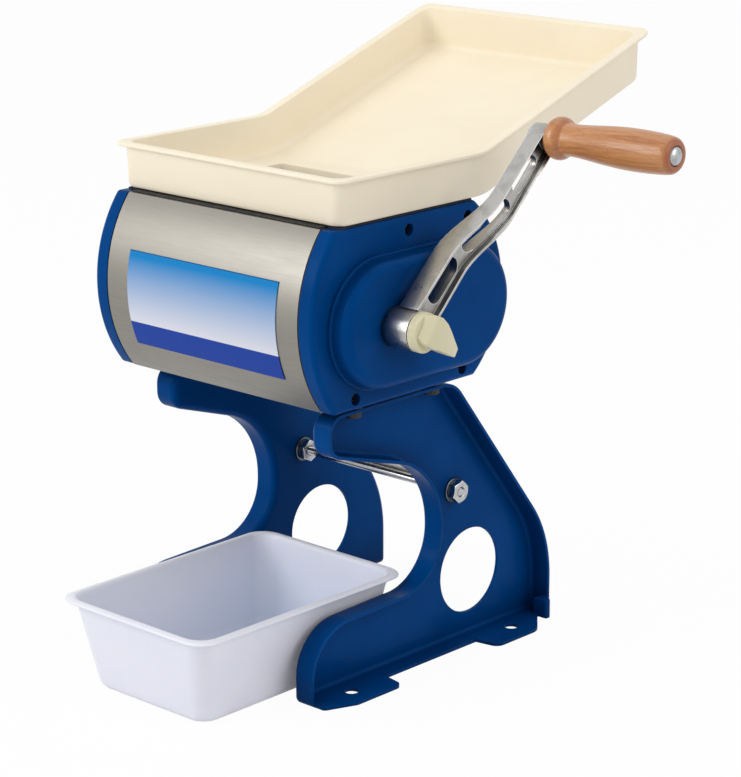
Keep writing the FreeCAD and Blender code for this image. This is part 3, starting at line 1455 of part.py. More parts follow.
def near_floor(edge, wall):
    """Say whether an edge runs round the floor of the tray's hollow."""
    turn = math.radians(DIM.tray_slope.value)
    for vertex in edge.Vertexes:
        point = vertex.Point
        past = max(point.y - DIM.tray_kink_y.value, 0)
        floor = TRAY_FLOOR.value + past * math.tan(turn)
        if point.z > floor + wall * 2:
            return False
    box = edge.BoundBox
    crosses = box.XLength > TRAY_HALF.value and abs(box.Center.y - DIM.tray_kink_y.value) < wall * 2
    return not crosses


def box_outline(body, height, out):
    """Draw the box's rounded outline at a height, moved outwards from its walls there."""
    sketch = new_sketch(body, "XY_Plane", height)
    grow = out - DIM.box_lean * (1 - size(height) / DIM.box_high)
    half_x, half_y = BOX_HALF_X + grow, DIM.box_half_y + grow
    rectangle(sketch, -half_x, -half_y, half_x, half_y, DIM.box_corner + grow)
    return sketch


def catch_box():
    """Mould the open box that stands between the legs, with a lip round its rim."""
    body = new_body("catch_box")
    place(body, DIM.box_x, DIM.box_y, 0)
    lean = "atan(dims.box_lean / dims.box_high)"
    walls = pad(body, box_outline(body, 0, 0), DIM.box_high)
    walls.setExpression("TaperAngle", lean)
    fillet(body, DIM.box_round, lambda edge: in_plane(edge, "Z", 0))
    low = DIM.box_high - DIM.box_rim_thick
    rim = new_sketch(body, "XY_Plane", low)
    half_x, half_y = BOX_HALF_X + DIM.box_rim, DIM.box_half_y + DIM.box_rim
    rectangle(rim, -half_x, -half_y, half_x, half_y, DIM.box_corner + DIM.box_rim)
    pad(body, rim, DIM.box_rim_thick)
    hollow = pocket(body, box_outline(body, DIM.box_high, -DIM.box_wall),
                    DIM.box_high - DIM.box_wall)
    hollow.setExpression("TaperAngle", f"-{lean}")
    fillet(body, DIM.box_round - DIM.box_wall / 2,
           lambda edge: in_plane(edge, "Z", DIM.box_wall) and edge.BoundBox.DiagonalLength > TOUCH)
    return body


# --------------------------------------------------------------------- the whole

def build():
    """Build every piece and return those that are written out."""
    right_leg = pressed_leg("right_leg", DIM.right_nose_y)
    left_leg = pressed_leg("left_leg_stock", DIM.left_nose_y)
    plate = right_plate()
    seam = right_seam()
    left_cover = cover("left_cover_stock", with_pod=False)
    pieces = [right_leg, mirrored("left_leg", left_leg)]
    pieces += tie_rod_set()
    pieces += leg_fasteners()
    pieces += [plate, mirrored("left_side_plate", plate)]
    pieces += wraps()
    pieces += [seam, mirrored("left_seam", seam)]
    pieces += [cover("right_cover", with_pod=True), mirrored("left_cover", left_cover)]
    pieces += [cover_screws("right_cover_screws", 1), cover_screws("left_cover_screws", -1)]
    pieces += [bushings(), label_plate(), deflector()]
    pieces += shafts()
    first = first_blade()
    second = first + DIM.blade_thick + DIM.blade_shear
    pieces += blade_stack("front", DIM.shaft_y, first)
    pieces += blade_stack("rear", REAR_SHAFT_Y, second)
    pieces += [comb("front_comb", DIM.shaft_y, -1, first), comb("rear_comb", REAR_SHAFT_Y, 1, second)]
    pieces += [gear("drive_gear", DIM.shaft_y), gear("driven_gear", REAR_SHAFT_Y)]
    pieces += [clip("front_clip", DIM.shaft_y), clip("rear_clip", REAR_SHAFT_Y)]
    pieces += [crank_arm(), wing_knob()]
    pieces += handle()
    pieces += [tray_gasket(), hopper_tray(), catch_box()]
    return pieces


def check(pieces):
    """Stop if any object failed or any piece has no valid shape."""
    for thing in DOC.Objects:
        if {"Invalid", "Error"} & set(thing.State):
            raise RuntimeError(f"{thing.Label} did not build: {thing.State}")
    for piece in pieces:
        if piece.Shape.isNull() or not piece.Shape.isValid():
            raise RuntimeError(f"{piece.Label} has no valid shape")


def write(pieces):
    """Write each piece to its own file."""
    os.makedirs(OUT, exist_ok=True)
    for piece in pieces:
        piece.Shape.exportStep(os.path.join(OUT, f"{piece.Label}.step"))
        solids = len(piece.Shape.Solids)
        print(f"{piece.Label}: {solids} solid(s), {piece.Shape.Volume:.0f} mm3")


PIECES = build()
DOC.recompute()
check(PIECES)
write(PIECES)
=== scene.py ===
"""Dressed model of a hand-cranked jerky slicer.

Sizes in the classes are in millimetres, from the middle of the four base holes:
X to the crank's side, Y to the back, Z up. Meshes are made in metres.
"""
from __future__ import annotations

import logging
import math
from collections.abc import Callable, Iterator, Sequence
from contextlib import contextmanager
from dataclasses import dataclass
from enum import Enum
from functools import cached_property

import bmesh
import bpy
from mathutils import Matrix, Vector

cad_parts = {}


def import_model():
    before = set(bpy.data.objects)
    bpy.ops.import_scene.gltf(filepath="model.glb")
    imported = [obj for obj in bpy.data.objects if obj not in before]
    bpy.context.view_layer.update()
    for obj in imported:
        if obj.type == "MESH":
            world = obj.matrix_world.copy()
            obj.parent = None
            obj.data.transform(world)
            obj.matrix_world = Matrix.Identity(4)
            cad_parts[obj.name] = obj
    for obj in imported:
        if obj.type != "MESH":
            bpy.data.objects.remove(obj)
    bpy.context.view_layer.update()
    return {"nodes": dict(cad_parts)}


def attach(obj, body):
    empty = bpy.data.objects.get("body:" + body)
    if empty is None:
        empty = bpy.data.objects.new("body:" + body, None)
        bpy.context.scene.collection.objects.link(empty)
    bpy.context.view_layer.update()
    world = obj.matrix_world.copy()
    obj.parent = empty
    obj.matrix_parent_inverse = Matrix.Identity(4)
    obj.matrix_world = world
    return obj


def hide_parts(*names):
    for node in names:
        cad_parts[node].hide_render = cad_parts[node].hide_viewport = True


MM = 0.001
NEAR = 0.05             # how near a point must be to a place to count as there
AWAY = 1000.0           # how far points are put out of the way of the next pick
LOG = logging.getLogger("slicer")

Triple = tuple[float, float, float]
Outline = Sequence[tuple[float, float]]
Socket = bpy.types.NodeSocket
Value = float | Triple | Socket


class Kind(Enum):
    """What a selection picks in edit mode."""

    VERTEX = "VERT"
    EDGE = "EDGE"
    FACE = "FACE"


class Cut(Enum):
    """What a cutting tool does to a workpiece."""

    REMOVE = "DIFFERENCE"
    ADD = "UNION"
    KEEP = "INTERSECT"


class Side(Enum):
    """A side of the slicer, with the sign of its X."""

    RIGHT = 1
    LEFT = -1

    @property
    def word(self) -> str:
        """Return the side's name as the nodes spell it."""
        return self.name.lower()


# ------------------------------------------------------------------ measures

def metres(point: Sequence[float]) -> Vector:
    """Return a point given in millimetres, in metres."""
    return Vector(point) * MM


def srgb(red: int, green: int, blue: int) -> Triple:
    """Turn a screen colour into the linear one that a shader takes.

    Args:
        red: Red, 0 to 255.
        green: Green, 0 to 255.
        blue: Blue, 0 to 255.

    Returns:
        The linear colour.
    """
    def linear(level: int) -> float:
        """Undo the screen's curve for one level."""
        share = level / 255
        return share / 12.92 if share <= 0.04045 else ((share + 0.055) / 1.055) ** 2.4

    return linear(red), linear(green), linear(blue)


def middle(element: object) -> Vector:
    """Find an edit-mode element's middle.

    Args:
        element: A vertex, an edge or a face.

    Returns:
        Its middle, in millimetres.
    """
    if isinstance(element, bmesh.types.BMFace):
        return element.calc_center_median() / MM
    if isinstance(element, bmesh.types.BMEdge):
        return (element.verts[0].co + element.verts[1].co) / 2 / MM
    return element.co / MM


def runs(axis: str) -> Callable[[object], bool]:
    """Return a test of whether an edge runs along an axis."""
    return lambda edge: abs(getattr((edge.verts[1].co - edge.verts[0].co).normalized(),
                                    axis)) > 0.9


def at(**place: float) -> Callable[[object], bool]:
    """Return a test of whether an element's middle has the named coordinates."""
    return lambda element: all(abs(getattr(middle(element), axis) - value) < NEAR
                               for axis, value in place.items())


def smooth_line(points: Outline, steps: int) -> list[tuple[float, float]]:
    """Run a smooth line through a few points.

    Args:
        points: Places along and out that the line passes.
        steps: How many pieces each span is divided into.

    Returns:
        The points of the divided line.
    """
    padded = [points[0], *points, points[-1]]
    line = []
    for before, start, end, after in zip(padded, padded[1:], padded[2:], padded[3:]):
        for step in range(steps):
            t = step / steps
            line.append(tuple(
                0.5 * (2 * b + (c - a) * t + (2 * a - 5 * b + 4 * c - d) * t ** 2
                       + (3 * b - a - 3 * c + d) * t ** 3)
                for a, b, c, d in zip(before, start, end, after)))
    return line + [points[-1]]


def ease(low: float, high: float, share: float) -> float:
    """Return a value on a soft step between two levels, for a share from 0 to 1."""
    share = min(max(share, 0.0), 1.0)
    return low + (high - low) * share * share * (3 - 2 * share)


# -------------------------------------------------------------------- shaping

@dataclass(frozen=True)
class Ring:
    """A level outline of a moulding, even about X = 0."""

    half: float
    front: float
    rear: float
    high: float

    @property
    def middle(self) -> float:
        """Return where its middle is from front to rear."""
        return (self.front + self.rear) / 2


def clear_bench() -> None:
    """Leave edit mode and deselect everything."""
    if bpy.context.mode != "OBJECT":
        bpy.ops.object.mode_set(mode="OBJECT")
    bpy.ops.object.select_all(action="DESELECT")


def apply_place() -> None:
    """Put the selected object's place, turn and scale into its mesh."""
    bpy.ops.object.transform_apply(location=True, rotation=True, scale=True)


class Workpiece:
    """One mesh on the bench, shaped by the modelling operators."""

    def __init__(self, name: str) -> None:
        """Take over the active object under a name."""
        self.item = bpy.context.active_object
        self.item.name = self.item.data.name = name

    @classmethod
    def block(cls, name: str, low: Triple, high: Triple) -> Workpiece:
        """Start from a block.

        Args:
            name: The piece's name.
            low: Its lowest corner.
            high: Its highest corner.

        Returns:
            The workpiece.
        """
        clear_bench()
        bpy.ops.mesh.primitive_cube_add(size=1, location=(metres(low) + metres(high)) / 2)
        bpy.context.active_object.scale = metres(high) - metres(low)
        apply_place()
        return cls(name)

    @classmethod
    def turned(cls, name: str, profile: Outline, sides: int = 48,
               closed: bool = False) -> Workpiece:
        """Turn a piece about the X axis.

        Args:
            name: The piece's name.
            profile: Places along X with the radius there, none of them 0.
            sides: How many sides the round has.
            closed: Whether the profile returns to its start, as a ring's does.

        Returns:
            The workpiece.
        """
        clear_bench()
        (here, radius), *rest = profile
        bpy.ops.mesh.primitive_circle_add(vertices=sides, radius=radius * MM,
                                          location=(here * MM, 0, 0),
                                          rotation=(0, math.pi / 2, 0))
        apply_place()
        piece = cls(name)
        with piece.editing():
            bpy.ops.mesh.select_all(action="SELECT")
            for along, wide in rest:
                piece.extrude((along - here, 0, 0))
                piece.resize((1, wide / radius, wide / radius), (along, 0, 0))
                here, radius = along, wide
            if not closed:
                bpy.ops.mesh.edge_face_add()
                piece.pick(Kind.EDGE, lambda edge: edge.is_boundary)
                bpy.ops.mesh.edge_face_add()
            bpy.ops.mesh.select_all(action="SELECT")
            bpy.ops.mesh.remove_doubles(threshold=NEAR * MM / 10)
            piece.face_outwards()
        return piece

    @classmethod
    def sleeve(cls, name: str, radii: tuple[float, float], end: float,
               broken: tuple[float, float] = (0, 0), sides: int = 48) -> Workpiece:
        """Turn a sleeve from X = 0, its outer edges broken.

        Args:
            name: The piece's name.
            radii: Its inner and its outer radius.
            end: How long it is.
            broken: How wide the outer edges are broken at its start and its end.
            sides: How many sides the round has.

        Returns:
            The workpiece.
        """
        (inner, outer), (near, far) = radii, broken
        profile = ((0, inner), (0, outer - near), (near, outer), (end - far, outer),
                   (end, outer - far), (end, inner), (0, inner))
        piece = cls.turned(name, profile, sides, closed=True)
        piece.smooth(30)
        return piece

    @classmethod
    def moulded(cls, name: str, corner: float, rings: Sequence[Ring], steps: int = 9) -> Workpiece:
        """Draw up a hollow moulding from its underside, over its rim and down to its floor.

        Args:
            name: The piece's name.
            corner: The radius of its upright corners.
            rings: The outlines that its skin passes, in order.
            steps: How many facets a corner has.

        Returns:
            The workpiece.
        """
        clear_bench()
        first = rings[0]
        wide, deep = 2 * first.half, first.rear - first.front
        bpy.ops.mesh.primitive_plane_add(size=1, location=metres((0, first.middle, first.high)))
        bpy.context.active_object.scale = metres((wide, deep, 1 / MM))
        apply_place()
        piece = cls(name)
        with piece.editing():
            bpy.ops.mesh.select_all(action="SELECT")
            bpy.ops.mesh.bevel(offset=corner * MM, segments=steps, affect="VERTICES")
            for here, there in zip(rings, rings[1:]):
                piece.extrude((0, there.middle - here.middle, there.high - here.high))
                grow = (there.rear - there.front) / (here.rear - here.front)
                piece.resize((there.half / here.half, grow, 1), (0, there.middle, there.high))
            piece.face_outwards()
        return piece

    @classmethod
    def hexagon(cls, name: str, across: float, long: float) -> Workpiece:
        """Start from a hexagonal bar along X.

        Args:
            name: The piece's name.
            across: How far its flats are apart.
            long: How long it is, from zero.

        Returns:
            The workpiece.
        """
        clear_bench()
        bpy.ops.mesh.primitive_cylinder_add(
            vertices=6, radius=across * MM / math.sqrt(3), depth=long * MM,
            location=(long / 2 * MM, 0, 0), rotation=(0, math.pi / 2, 0))
        apply_place()
        return cls(name)

    def grab(self) -> None:
        """Select the piece alone and make it active."""
        clear_bench()
        self.item.select_set(True)
        bpy.context.view_layer.objects.active = self.item

    @contextmanager
    def editing(self) -> Iterator[None]:
        """Work on the mesh in edit mode, picking vertices at first.

        Returns:
            The stretch of work.
        """
        self.grab()
        bpy.ops.object.mode_set(mode="EDIT")
        bpy.ops.mesh.select_mode(type=Kind.VERTEX.value)
        yield
        bpy.ops.object.mode_set(mode="OBJECT")

    def pick(self, kind: Kind, test: Callable[[object], bool]) -> None:
        """Select what passes a test, and nothing else.

        Args:
            kind: Whether vertices, edges or faces are tested.
            test: Says of an element whether it is picked.
        """
        bpy.ops.mesh.select_mode(type=kind.value)
        bpy.ops.mesh.select_all(action="DESELECT")
        mesh = bmesh.from_edit_mesh(self.item.data)
        mesh.normal_update()
        pool = {Kind.VERTEX: mesh.verts, Kind.EDGE: mesh.edges, Kind.FACE: mesh.faces}[kind]
        for element in [element for element in pool if test(element)]:
            element.select_set(True)
        mesh.select_flush_mode()
        bmesh.update_edit_mesh(self.item.data)

    def extrude(self, offset: Triple) -> None:
        """Extrude what is picked by an offset."""
        bpy.ops.mesh.extrude_region_move(TRANSFORM_OT_translate={"value": metres(offset)})

    def inset(self, margin: float) -> None:
        """Inset what is picked as one region."""
        bpy.ops.mesh.inset(thickness=margin * MM, depth=0, use_even_offset=True)

    def move(self, offset: Triple) -> None:
        """Move what is picked."""
        bpy.ops.transform.translate(value=metres(offset))

    def resize(self, factors: Triple, centre: Triple) -> None:
        """Scale what is picked about a point."""
        bpy.ops.transform.resize(value=factors, center_override=metres(centre))

    def round(self, width: float, steps: int) -> None:
        """Bevel the picked edges."""
        bpy.ops.mesh.bevel(offset=width * MM, segments=steps, affect="EDGES")

    def slice(self, along: float) -> None:
        """Cut an edge loop through the whole piece, across Y."""
        bpy.ops.mesh.select_all(action="SELECT")
        bpy.ops.mesh.bisect(plane_co=metres((0, along, 0)), plane_no=(0, 1, 0))

    def face_outwards(self) -> None:
        """Turn every face outwards, in edit mode."""
        bpy.ops.mesh.select_all(action="SELECT")
        bpy.ops.mesh.normals_make_consistent(inside=False)

    def modify(self, kind: str, **settings: object) -> None:
        """Add a modifier and apply it.

        Args:
            kind: The modifier's type.
            settings: Values for its properties.
        """
        self.grab()
        modifier = self.item.modifiers.new(kind.lower(), kind)
        for name, value in settings.items():
            setattr(modifier, name, value)
        bpy.ops.object.modifier_apply(modifier=modifier.name)

    def cut(self, tool: Workpiece, how: Cut) -> None:
        """Combine the piece with a tool, and throw the tool away."""
        self.modify("BOOLEAN", object=tool.item, operation=how.value, solver="EXACT")
        tool.discard()

    def bevel(self, width: float, steps: int, angle: float) -> None:
        """Break the edges that are sharper than an angle in degrees."""
        self.modify("BEVEL", width=width * MM, segments=steps, limit_method="ANGLE",
                    angle_limit=math.radians(angle))

    def smooth(self, angle: float) -> None:
        """Shade smooth across edges flatter than an angle in degrees."""
        self.grab()
        bpy.ops.object.shade_smooth_by_angle(angle=math.radians(angle))

    def soften(self, width: float, steps: int, angle: float) -> None:
        """Break the sharp edges, then shade the piece smooth between them."""
        self.bevel(width, steps, angle)
        self.smooth(angle)

    def place(self, origin: Triple, degrees: float = 0, axis: str = "X",
              mirror: bool = False) -> None:
        """Put the piece where it belongs, with its object left at the origin.

        Args:
            origin: Where the piece's own zero goes.
            degrees: How far it is turned first.
            axis: The axis that it is turned about.
            mirror: Whether it is turned into its left-hand copy at the end.
        """
        turn = Matrix.Rotation(math.radians(degrees), 4, axis)
        flip = Matrix.Scale(-1, 4, (1, 0, 0)) if mirror else Matrix.Identity(4)
        self.item.matrix_world = flip @ Matrix.Translation(metres(origin)) @ turn
        self.grab()
        apply_place()
        if mirror:
            with self.editing():
                self.face_outwards()

    def copy(self, name: str) -> Workpiece:
        """Copy the piece and its mesh.

        Args:
            name: The copy's name.

        Returns:
            The copy.
        """
        self.grab()
        bpy.ops.object.duplicate(linked=False)
        return Workpiece(name)

    def discard(self) -> None:
        """Throw the piece away."""
        bpy.data.objects.remove(self.item)

    def fit(self, body: str, finish: Finish, slot: str, *nodes: str) -> None:
        """Dress the piece and hand it to its body.

        Args:
            body: The body that it moves with.
            finish: Its finish.
            slot: Not used.
            nodes: The nodes that it stands for.
        """
        self.item.data.materials.clear()
        self.item.data.materials.append(finish.material)
        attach(self.item, body)
        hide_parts(*nodes)
        LOG.info("%s: %d faces", self.item.name, len(self.item.data.polygons))


# ------------------------------------------------------------------- finishes

class Tree:
    """The shader nodes of a material or of the world."""

    def __init__(self, owner: bpy.types.Material | bpy.types.World) -> None:
        """Clear the owner's nodes.

        Args:
            owner: The material or the world.
        """
        owner.use_nodes = True
        self.tree = owner.node_tree
        self.tree.nodes.clear()

    def plug(self, socket: Socket, value: Value) -> None:
        """Give an input its value.

        Args:
            socket: The input.
            value: A number, a colour, or an output to link to it.
        """
        if isinstance(value, bpy.types.NodeSocket):
            self.tree.links.new(value, socket)
        elif isinstance(value, tuple) and socket.type == "RGBA":
            socket.default_value = (*value, 1)
        else:
            socket.default_value = value

    def node(self, kind: str, inputs: dict[str | int, Value] | None = None,
             **settings: object) -> bpy.types.Node:
        """Add a node.

        Args:
            kind: Its type, without the word that all shader nodes start with.
            inputs: Values or sockets for its inputs.
            settings: Values for its own properties.

        Returns:
            The node.
        """
        node = self.tree.nodes.new(f"ShaderNode{kind}")
        for name, value in settings.items():
            setattr(node, name, value)
        for key, value in (inputs or {}).items():
            self.plug(node.inputs[key], value)
        return node

    def sum(self, first: Value, second: Value, how: str = "ADD") -> Socket:
        """Return two values worked into one."""
        return self.node("Math", {0: first, 1: second}, operation=how).outputs[0]

    def scaled(self, value: Value, factor: float) -> Socket:
        """Return a value times a factor."""
        return self.sum(value, factor, "MULTIPLY")

    def seen(self) -> Socket:
        """Tell what is looked at from what only gives light.

        Returns:
            1 for what the camera, metal or glass sees, else 0.
        """
        rays = self.node("LightPath").outputs
        direct = self.sum(rays["Is Camera Ray"], rays["Is Glossy Ray"], "MAXIMUM")
        return self.sum(direct, rays["Is Transmission Ray"], "MAXIMUM")


class Graph(Tree):
    """The nodes of one material, with the patterns that finishes are mixed from."""

    def __init__(self, name: str) -> None:
        """Start a material with one shader, its patterns placed by the object.

        Args:
            name: The material's name.
        """
        self.material = bpy.data.materials.new(name)
        super().__init__(self.material)
        self.shader = self.node("BsdfPrincipled")
        self.out = self.node("OutputMaterial", {0: self.shader.outputs[0]})
        self.place = self.node("TexCoord").outputs["Object"]

    def set(self, **inputs: Value) -> None:
        """Set the shader's inputs, with underscores for the spaces in their names."""
        for name, value in inputs.items():
            self.plug(self.shader.inputs[name.replace("_", " ")], value)

    def stretched(self, factors: Triple, turn: Triple = (0, 0, 0)) -> Socket:
        """Stretch the patterns.

        Args:
            factors: How much denser they are along each axis.
            turn: How far they are turned first, in degrees.

        Returns:
            The place to give a pattern.
        """
        angles = tuple(math.radians(angle) for angle in turn)
        turned = self.node("Mapping", {"Vector": self.place, "Rotation": angles})
        return self.node("Mapping", {"Vector": turned.outputs[0], "Scale": factors}).outputs[0]

    def noise(self, size: float, detail: float = 3, place: Socket | None = None,
              warp: float = 0) -> Socket:
        """Make a cloudy pattern.

        Args:
            size: How wide its spots are, in millimetres.
            detail: How many finer layers it has.
            place: Where it is looked up, if not at the object's own place.
            warp: How far it is stirred.

        Returns:
            The pattern, from 0 to 1.
        """
        return self.node("TexNoise", {
            "Vector": place or self.place, "Scale": 1 / (size * MM), "Detail": detail,
            "Distortion": warp}).outputs["Fac"]

    def span(self, value: Socket, low: float, high: float,
             start: float = 0.3, end: float = 0.7) -> Socket:
        """Return a value from start to end spread over low to high."""
        return self.node("MapRange", {"Value": value, "From Min": start, "From Max": end,
                                      "To Min": low, "To Max": high}).outputs[0]

    def blend(self, share: Value, first: Value, second: Value) -> Socket:
        """Return a colour between two."""
        return self.node("Mix", {0: share, 6: first, 7: second}, data_type="RGBA").outputs[2]

    def part(self, vector: Socket, axis: int) -> Socket:
        """Return one axis of a vector."""
        return self.node("SeparateXYZ", {0: vector}).outputs[axis]

    def normal(self) -> Socket:
        """Return the way that the surface faces."""
        return self.node("NewGeometry").outputs["Normal"]

    def rounded(self, radius: float) -> Socket:
        """Return the way it would face with its edges rounded by a radius in millimetres."""
        return self.node("Bevel", {"Radius": radius * MM}, samples=4).outputs[0]

    def edges(self, radius: float) -> Socket:
        """Find the edges.

        Args:
            radius: The radius in millimetres that they are sharper than.

        Returns:
            A share, 1 on the edges and 0 elsewhere.
        """
        same = self.node("VectorMath", {0: self.rounded(radius), 1: self.normal()},
                         operation="DOT_PRODUCT").outputs["Value"]
        return self.span(same, 1, 0, 0.9, 0.995)

    def hollows(self, reach: float, own: bool = False) -> Socket:
        """Find the corners that walls close in, where painted shade goes.

        Args:
            reach: How far away a wall still counts.
            own: Whether only the piece's own walls count.

        Returns:
            A share, 1 in the corners and 0 in the open.
        """
        open_share = self.node("AmbientOcclusion", {"Distance": reach * MM},
                               samples=6, only_local=own)
        return self.span(open_share.outputs["AO"], 1, 0, 0.4, 0.95)

    def relief(self, height: Socket, depth: float, soft: float = 0) -> None:
        """Raise the surface by a pattern.

        Args:
            height: The pattern.
            depth: How deep it goes, in millimetres.
            soft: The radius that edges look rounded to, in millimetres.
        """
        bump = self.node("Bump", {"Height": height, "Distance": depth * MM})
        if soft:
            self.plug(bump.inputs["Normal"], self.rounded(soft))
        self.set(Normal=bump.outputs[0])


@dataclass(frozen=True)
class Enamel:
    """Stoving enamel: deep gloss, orange peel, painted shade in the hollows, and edges lightened
    by thin paint and by a painted highlight.
    """

    colour: Triple = srgb(0, 67, 132)
    deep: Triple = srgb(0, 56, 113)
    recess_shade: Triple = srgb(0, 28, 66)
    worn: Triple = srgb(30, 104, 178)
    cloud: float = 70
    reach: float = 28
    shade: float = 0.6
    edge: float = 0.7
    chip: float = 2.5
    wear: float = 0.55
    haze: float = 9
    roughness: float = 0.3
    peel: float = 1.8

    def make(self) -> bpy.types.Material:
        """Make the material.

        Returns:
            The material.
        """
        graph = Graph("blue_enamel_finish")
        coat = graph.blend(graph.span(graph.noise(self.cloud, 2), 0, 1), self.deep, self.colour)
        # Painted shade: corners that walls close in are darkened towards the recess colour.
        coat = graph.blend(graph.scaled(graph.hollows(self.reach), self.shade), coat, self.recess_shade)
        # The edges are lightened by thin, chipped paint and by a painted highlight.
        patchy = graph.span(graph.noise(self.chip, 4), 0, 1, 0.42, 0.7)
        thin = graph.sum(graph.edges(self.edge), patchy, "MULTIPLY")
        graph.set(Base_Color=graph.blend(graph.scaled(thin, self.wear), coat, self.worn),
                  Roughness=graph.span(graph.noise(self.haze), self.roughness,
                                       self.roughness + 0.12),
                  IOR=1.4, Specular_IOR_Level=0.06, Specular_Tint=srgb(30, 140, 240),
                  Coat_Weight=0.05, Coat_Roughness=0.08, Coat_IOR=1.3)
        graph.relief(graph.noise(self.peel, 1), 0.02, 0.8)
        return graph.material


@dataclass(frozen=True)
class SatinSteel:
    """Sheet or turned steel with fine lines left by the brush."""

    name: str
    colour: Triple
    streak: Triple
    stretch: Triple = (0.02, 1, 1)
    roughness: float = 0.3
    line: float = 0.4
    cloud: float = 55
    depth: float = 0.004

    def make(self) -> bpy.types.Material:
        """Make the material.

        Returns:
            The material.
        """
        graph = Graph(self.name)
        lines = graph.noise(self.line, 4, graph.stretched(self.stretch))
        cloud = graph.noise(self.cloud, 2)
        tone = graph.sum(graph.span(lines, 0, 0.6), graph.span(cloud, 0, 0.4))
        graph.set(Base_Color=graph.blend(tone, self.colour, self.streak), Metallic=1.0,
                  Roughness=graph.span(lines, self.roughness - 0.05, self.roughness + 0.1))
        graph.relief(lines, self.depth)
        return graph.material


@dataclass(frozen=True)
class BrightMetal:
    """Plated or polished metal with faint clouds and scratches, painted shade in its hollows and a
    painted highlight on its rubbed edges.
    """

    name: str
    colour: Triple
    dull: Triple
    roughness: float
    cloud: float
    ripple: float
    depth: float
    hollow_shade: float = 0.0
    soot: Triple = srgb(34, 31, 28)
    soot_reach: float = 9
    worn: Triple = srgb(250, 249, 246)
    edge: float = 0.9
    wear: float = 0.8
    scratch: float = 0.35

    def make(self) -> bpy.types.Material:
        """Make the material.

        Returns:
            The material.
        """
        graph = Graph(self.name)
        cloud = graph.noise(self.cloud, 4, warp=0.6)
        scratch = graph.noise(self.scratch, 3, graph.stretched((0.05, 1, 1), (12, 25, 40)))
        fleck = graph.span(scratch, 0, 0.35, 0.58, 0.72)
        tone = graph.sum(graph.span(cloud, 0, 0.5, 0.45, 0.75), fleck)
        metal = graph.blend(tone, self.colour, self.dull)
        # Painted shade darkens the hollows, and a painted highlight lightens the edges along with
        # their wear.
        if self.hollow_shade:
            shaded = graph.scaled(graph.hollows(self.soot_reach), self.hollow_shade)
            metal = graph.blend(shaded, metal, self.soot)
            metal = graph.blend(graph.scaled(graph.edges(self.edge), self.wear), metal, self.worn)
        haze = graph.span(cloud, self.roughness, self.roughness + 0.12)
        graph.set(Base_Color=metal, Metallic=1.0,
                  Roughness=graph.sum(haze, graph.scaled(fleck, 0.3)))
        graph.relief(graph.noise(self.ripple, 2), self.depth)
        return graph.material


@dataclass(frozen=True)
class Moulding:
    """Moulded plastic: soft gloss, faint flow marks, a little light let in, and where given
    painted shade on the walls that it closes in.
    """

    name: str
    colour: Triple
    shade: Triple
    roughness: float = 0.38
    glow: float = 0.08
    depth_of_glow: float = 4.0
    flow: float = 60
    speck: float = 1.2
    haze: float = 16
    grain: float = 0.7
    grain_depth: float = 0.012
    inside: Triple | None = None
    inside_shade_reach: float = 90

    def make(self) -> bpy.types.Material:
        """Make the material.

        Returns:
            The material.
        """
        graph = Graph(self.name)
        flow = graph.noise(self.flow, 3, warp=1.2)
        specks = graph.span(graph.noise(self.speck, 2), 0, 0.25, 0.66, 0.8)
        tone = graph.sum(graph.span(flow, 0, 0.5), specks)
        plastic = graph.blend(tone, self.colour, self.shade)
        # Painted shade: the inside colour tints the walls that the piece closes in.
        if self.inside:
            walled_shade = graph.hollows(self.inside_shade_reach, own=True)
            plastic = graph.blend(walled_shade, plastic, self.inside)
        graph.set(Base_Color=plastic,
                  Roughness=graph.span(graph.noise(self.haze, 4), self.roughness,
                                       self.roughness + 0.14),
                  IOR=1.46, Subsurface_Weight=self.glow,
                  Subsurface_Radius=(1.0, 0.85, 0.6), Subsurface_Scale=self.depth_of_glow * MM)
        graph.relief(graph.noise(self.grain, 3), self.grain_depth)
        return graph.material


@dataclass(frozen=True)
class VarnishedWood:
    """Turned beech with its grain along X, under varnish."""

    light: Triple = srgb(202, 142, 84)
    dark: Triple = srgb(160, 97, 48)
    pore: Triple = srgb(112, 60, 28)
    end_grain: Triple = srgb(150, 76, 34)
    band: float = 5
    fibre: float = 0.6
    pore_size: float = 0.5

    def make(self) -> bpy.types.Material:
        """Make the material.

        Returns:
            The material.
        """
        graph = Graph("varnished_wood")
        figure = graph.noise(self.band, 4, graph.stretched((0.07, 1, 1), (8, 3, 0)), 1.5)
        fibre = graph.noise(self.fibre, 3, graph.stretched((0.03, 1, 1)))
        pits = graph.noise(self.pore_size, 2, graph.stretched((0.12, 1, 1)))
        pores = graph.span(pits, 0, 0.7, 0.62, 0.74)
        tone = graph.sum(graph.span(figure, 0, 0.75), graph.span(fibre, 0, 0.35))
        timber = graph.blend(tone, self.light, self.dark)
        lengthwise = graph.sum(graph.part(graph.normal(), 0), 0, "ABSOLUTE")
        timber = graph.blend(graph.span(lengthwise, 0, 0.85, 0.3, 0.8), timber, self.end_grain)
        graph.set(Base_Color=graph.blend(pores, timber, self.pore),
                  Roughness=graph.span(fibre, 0.34, 0.46), Coat_Weight=0.4,
                  Coat_Roughness=0.18)
        graph.relief(graph.sum(fibre, graph.scaled(pores, -0.8)), 0.03)
        return graph.material


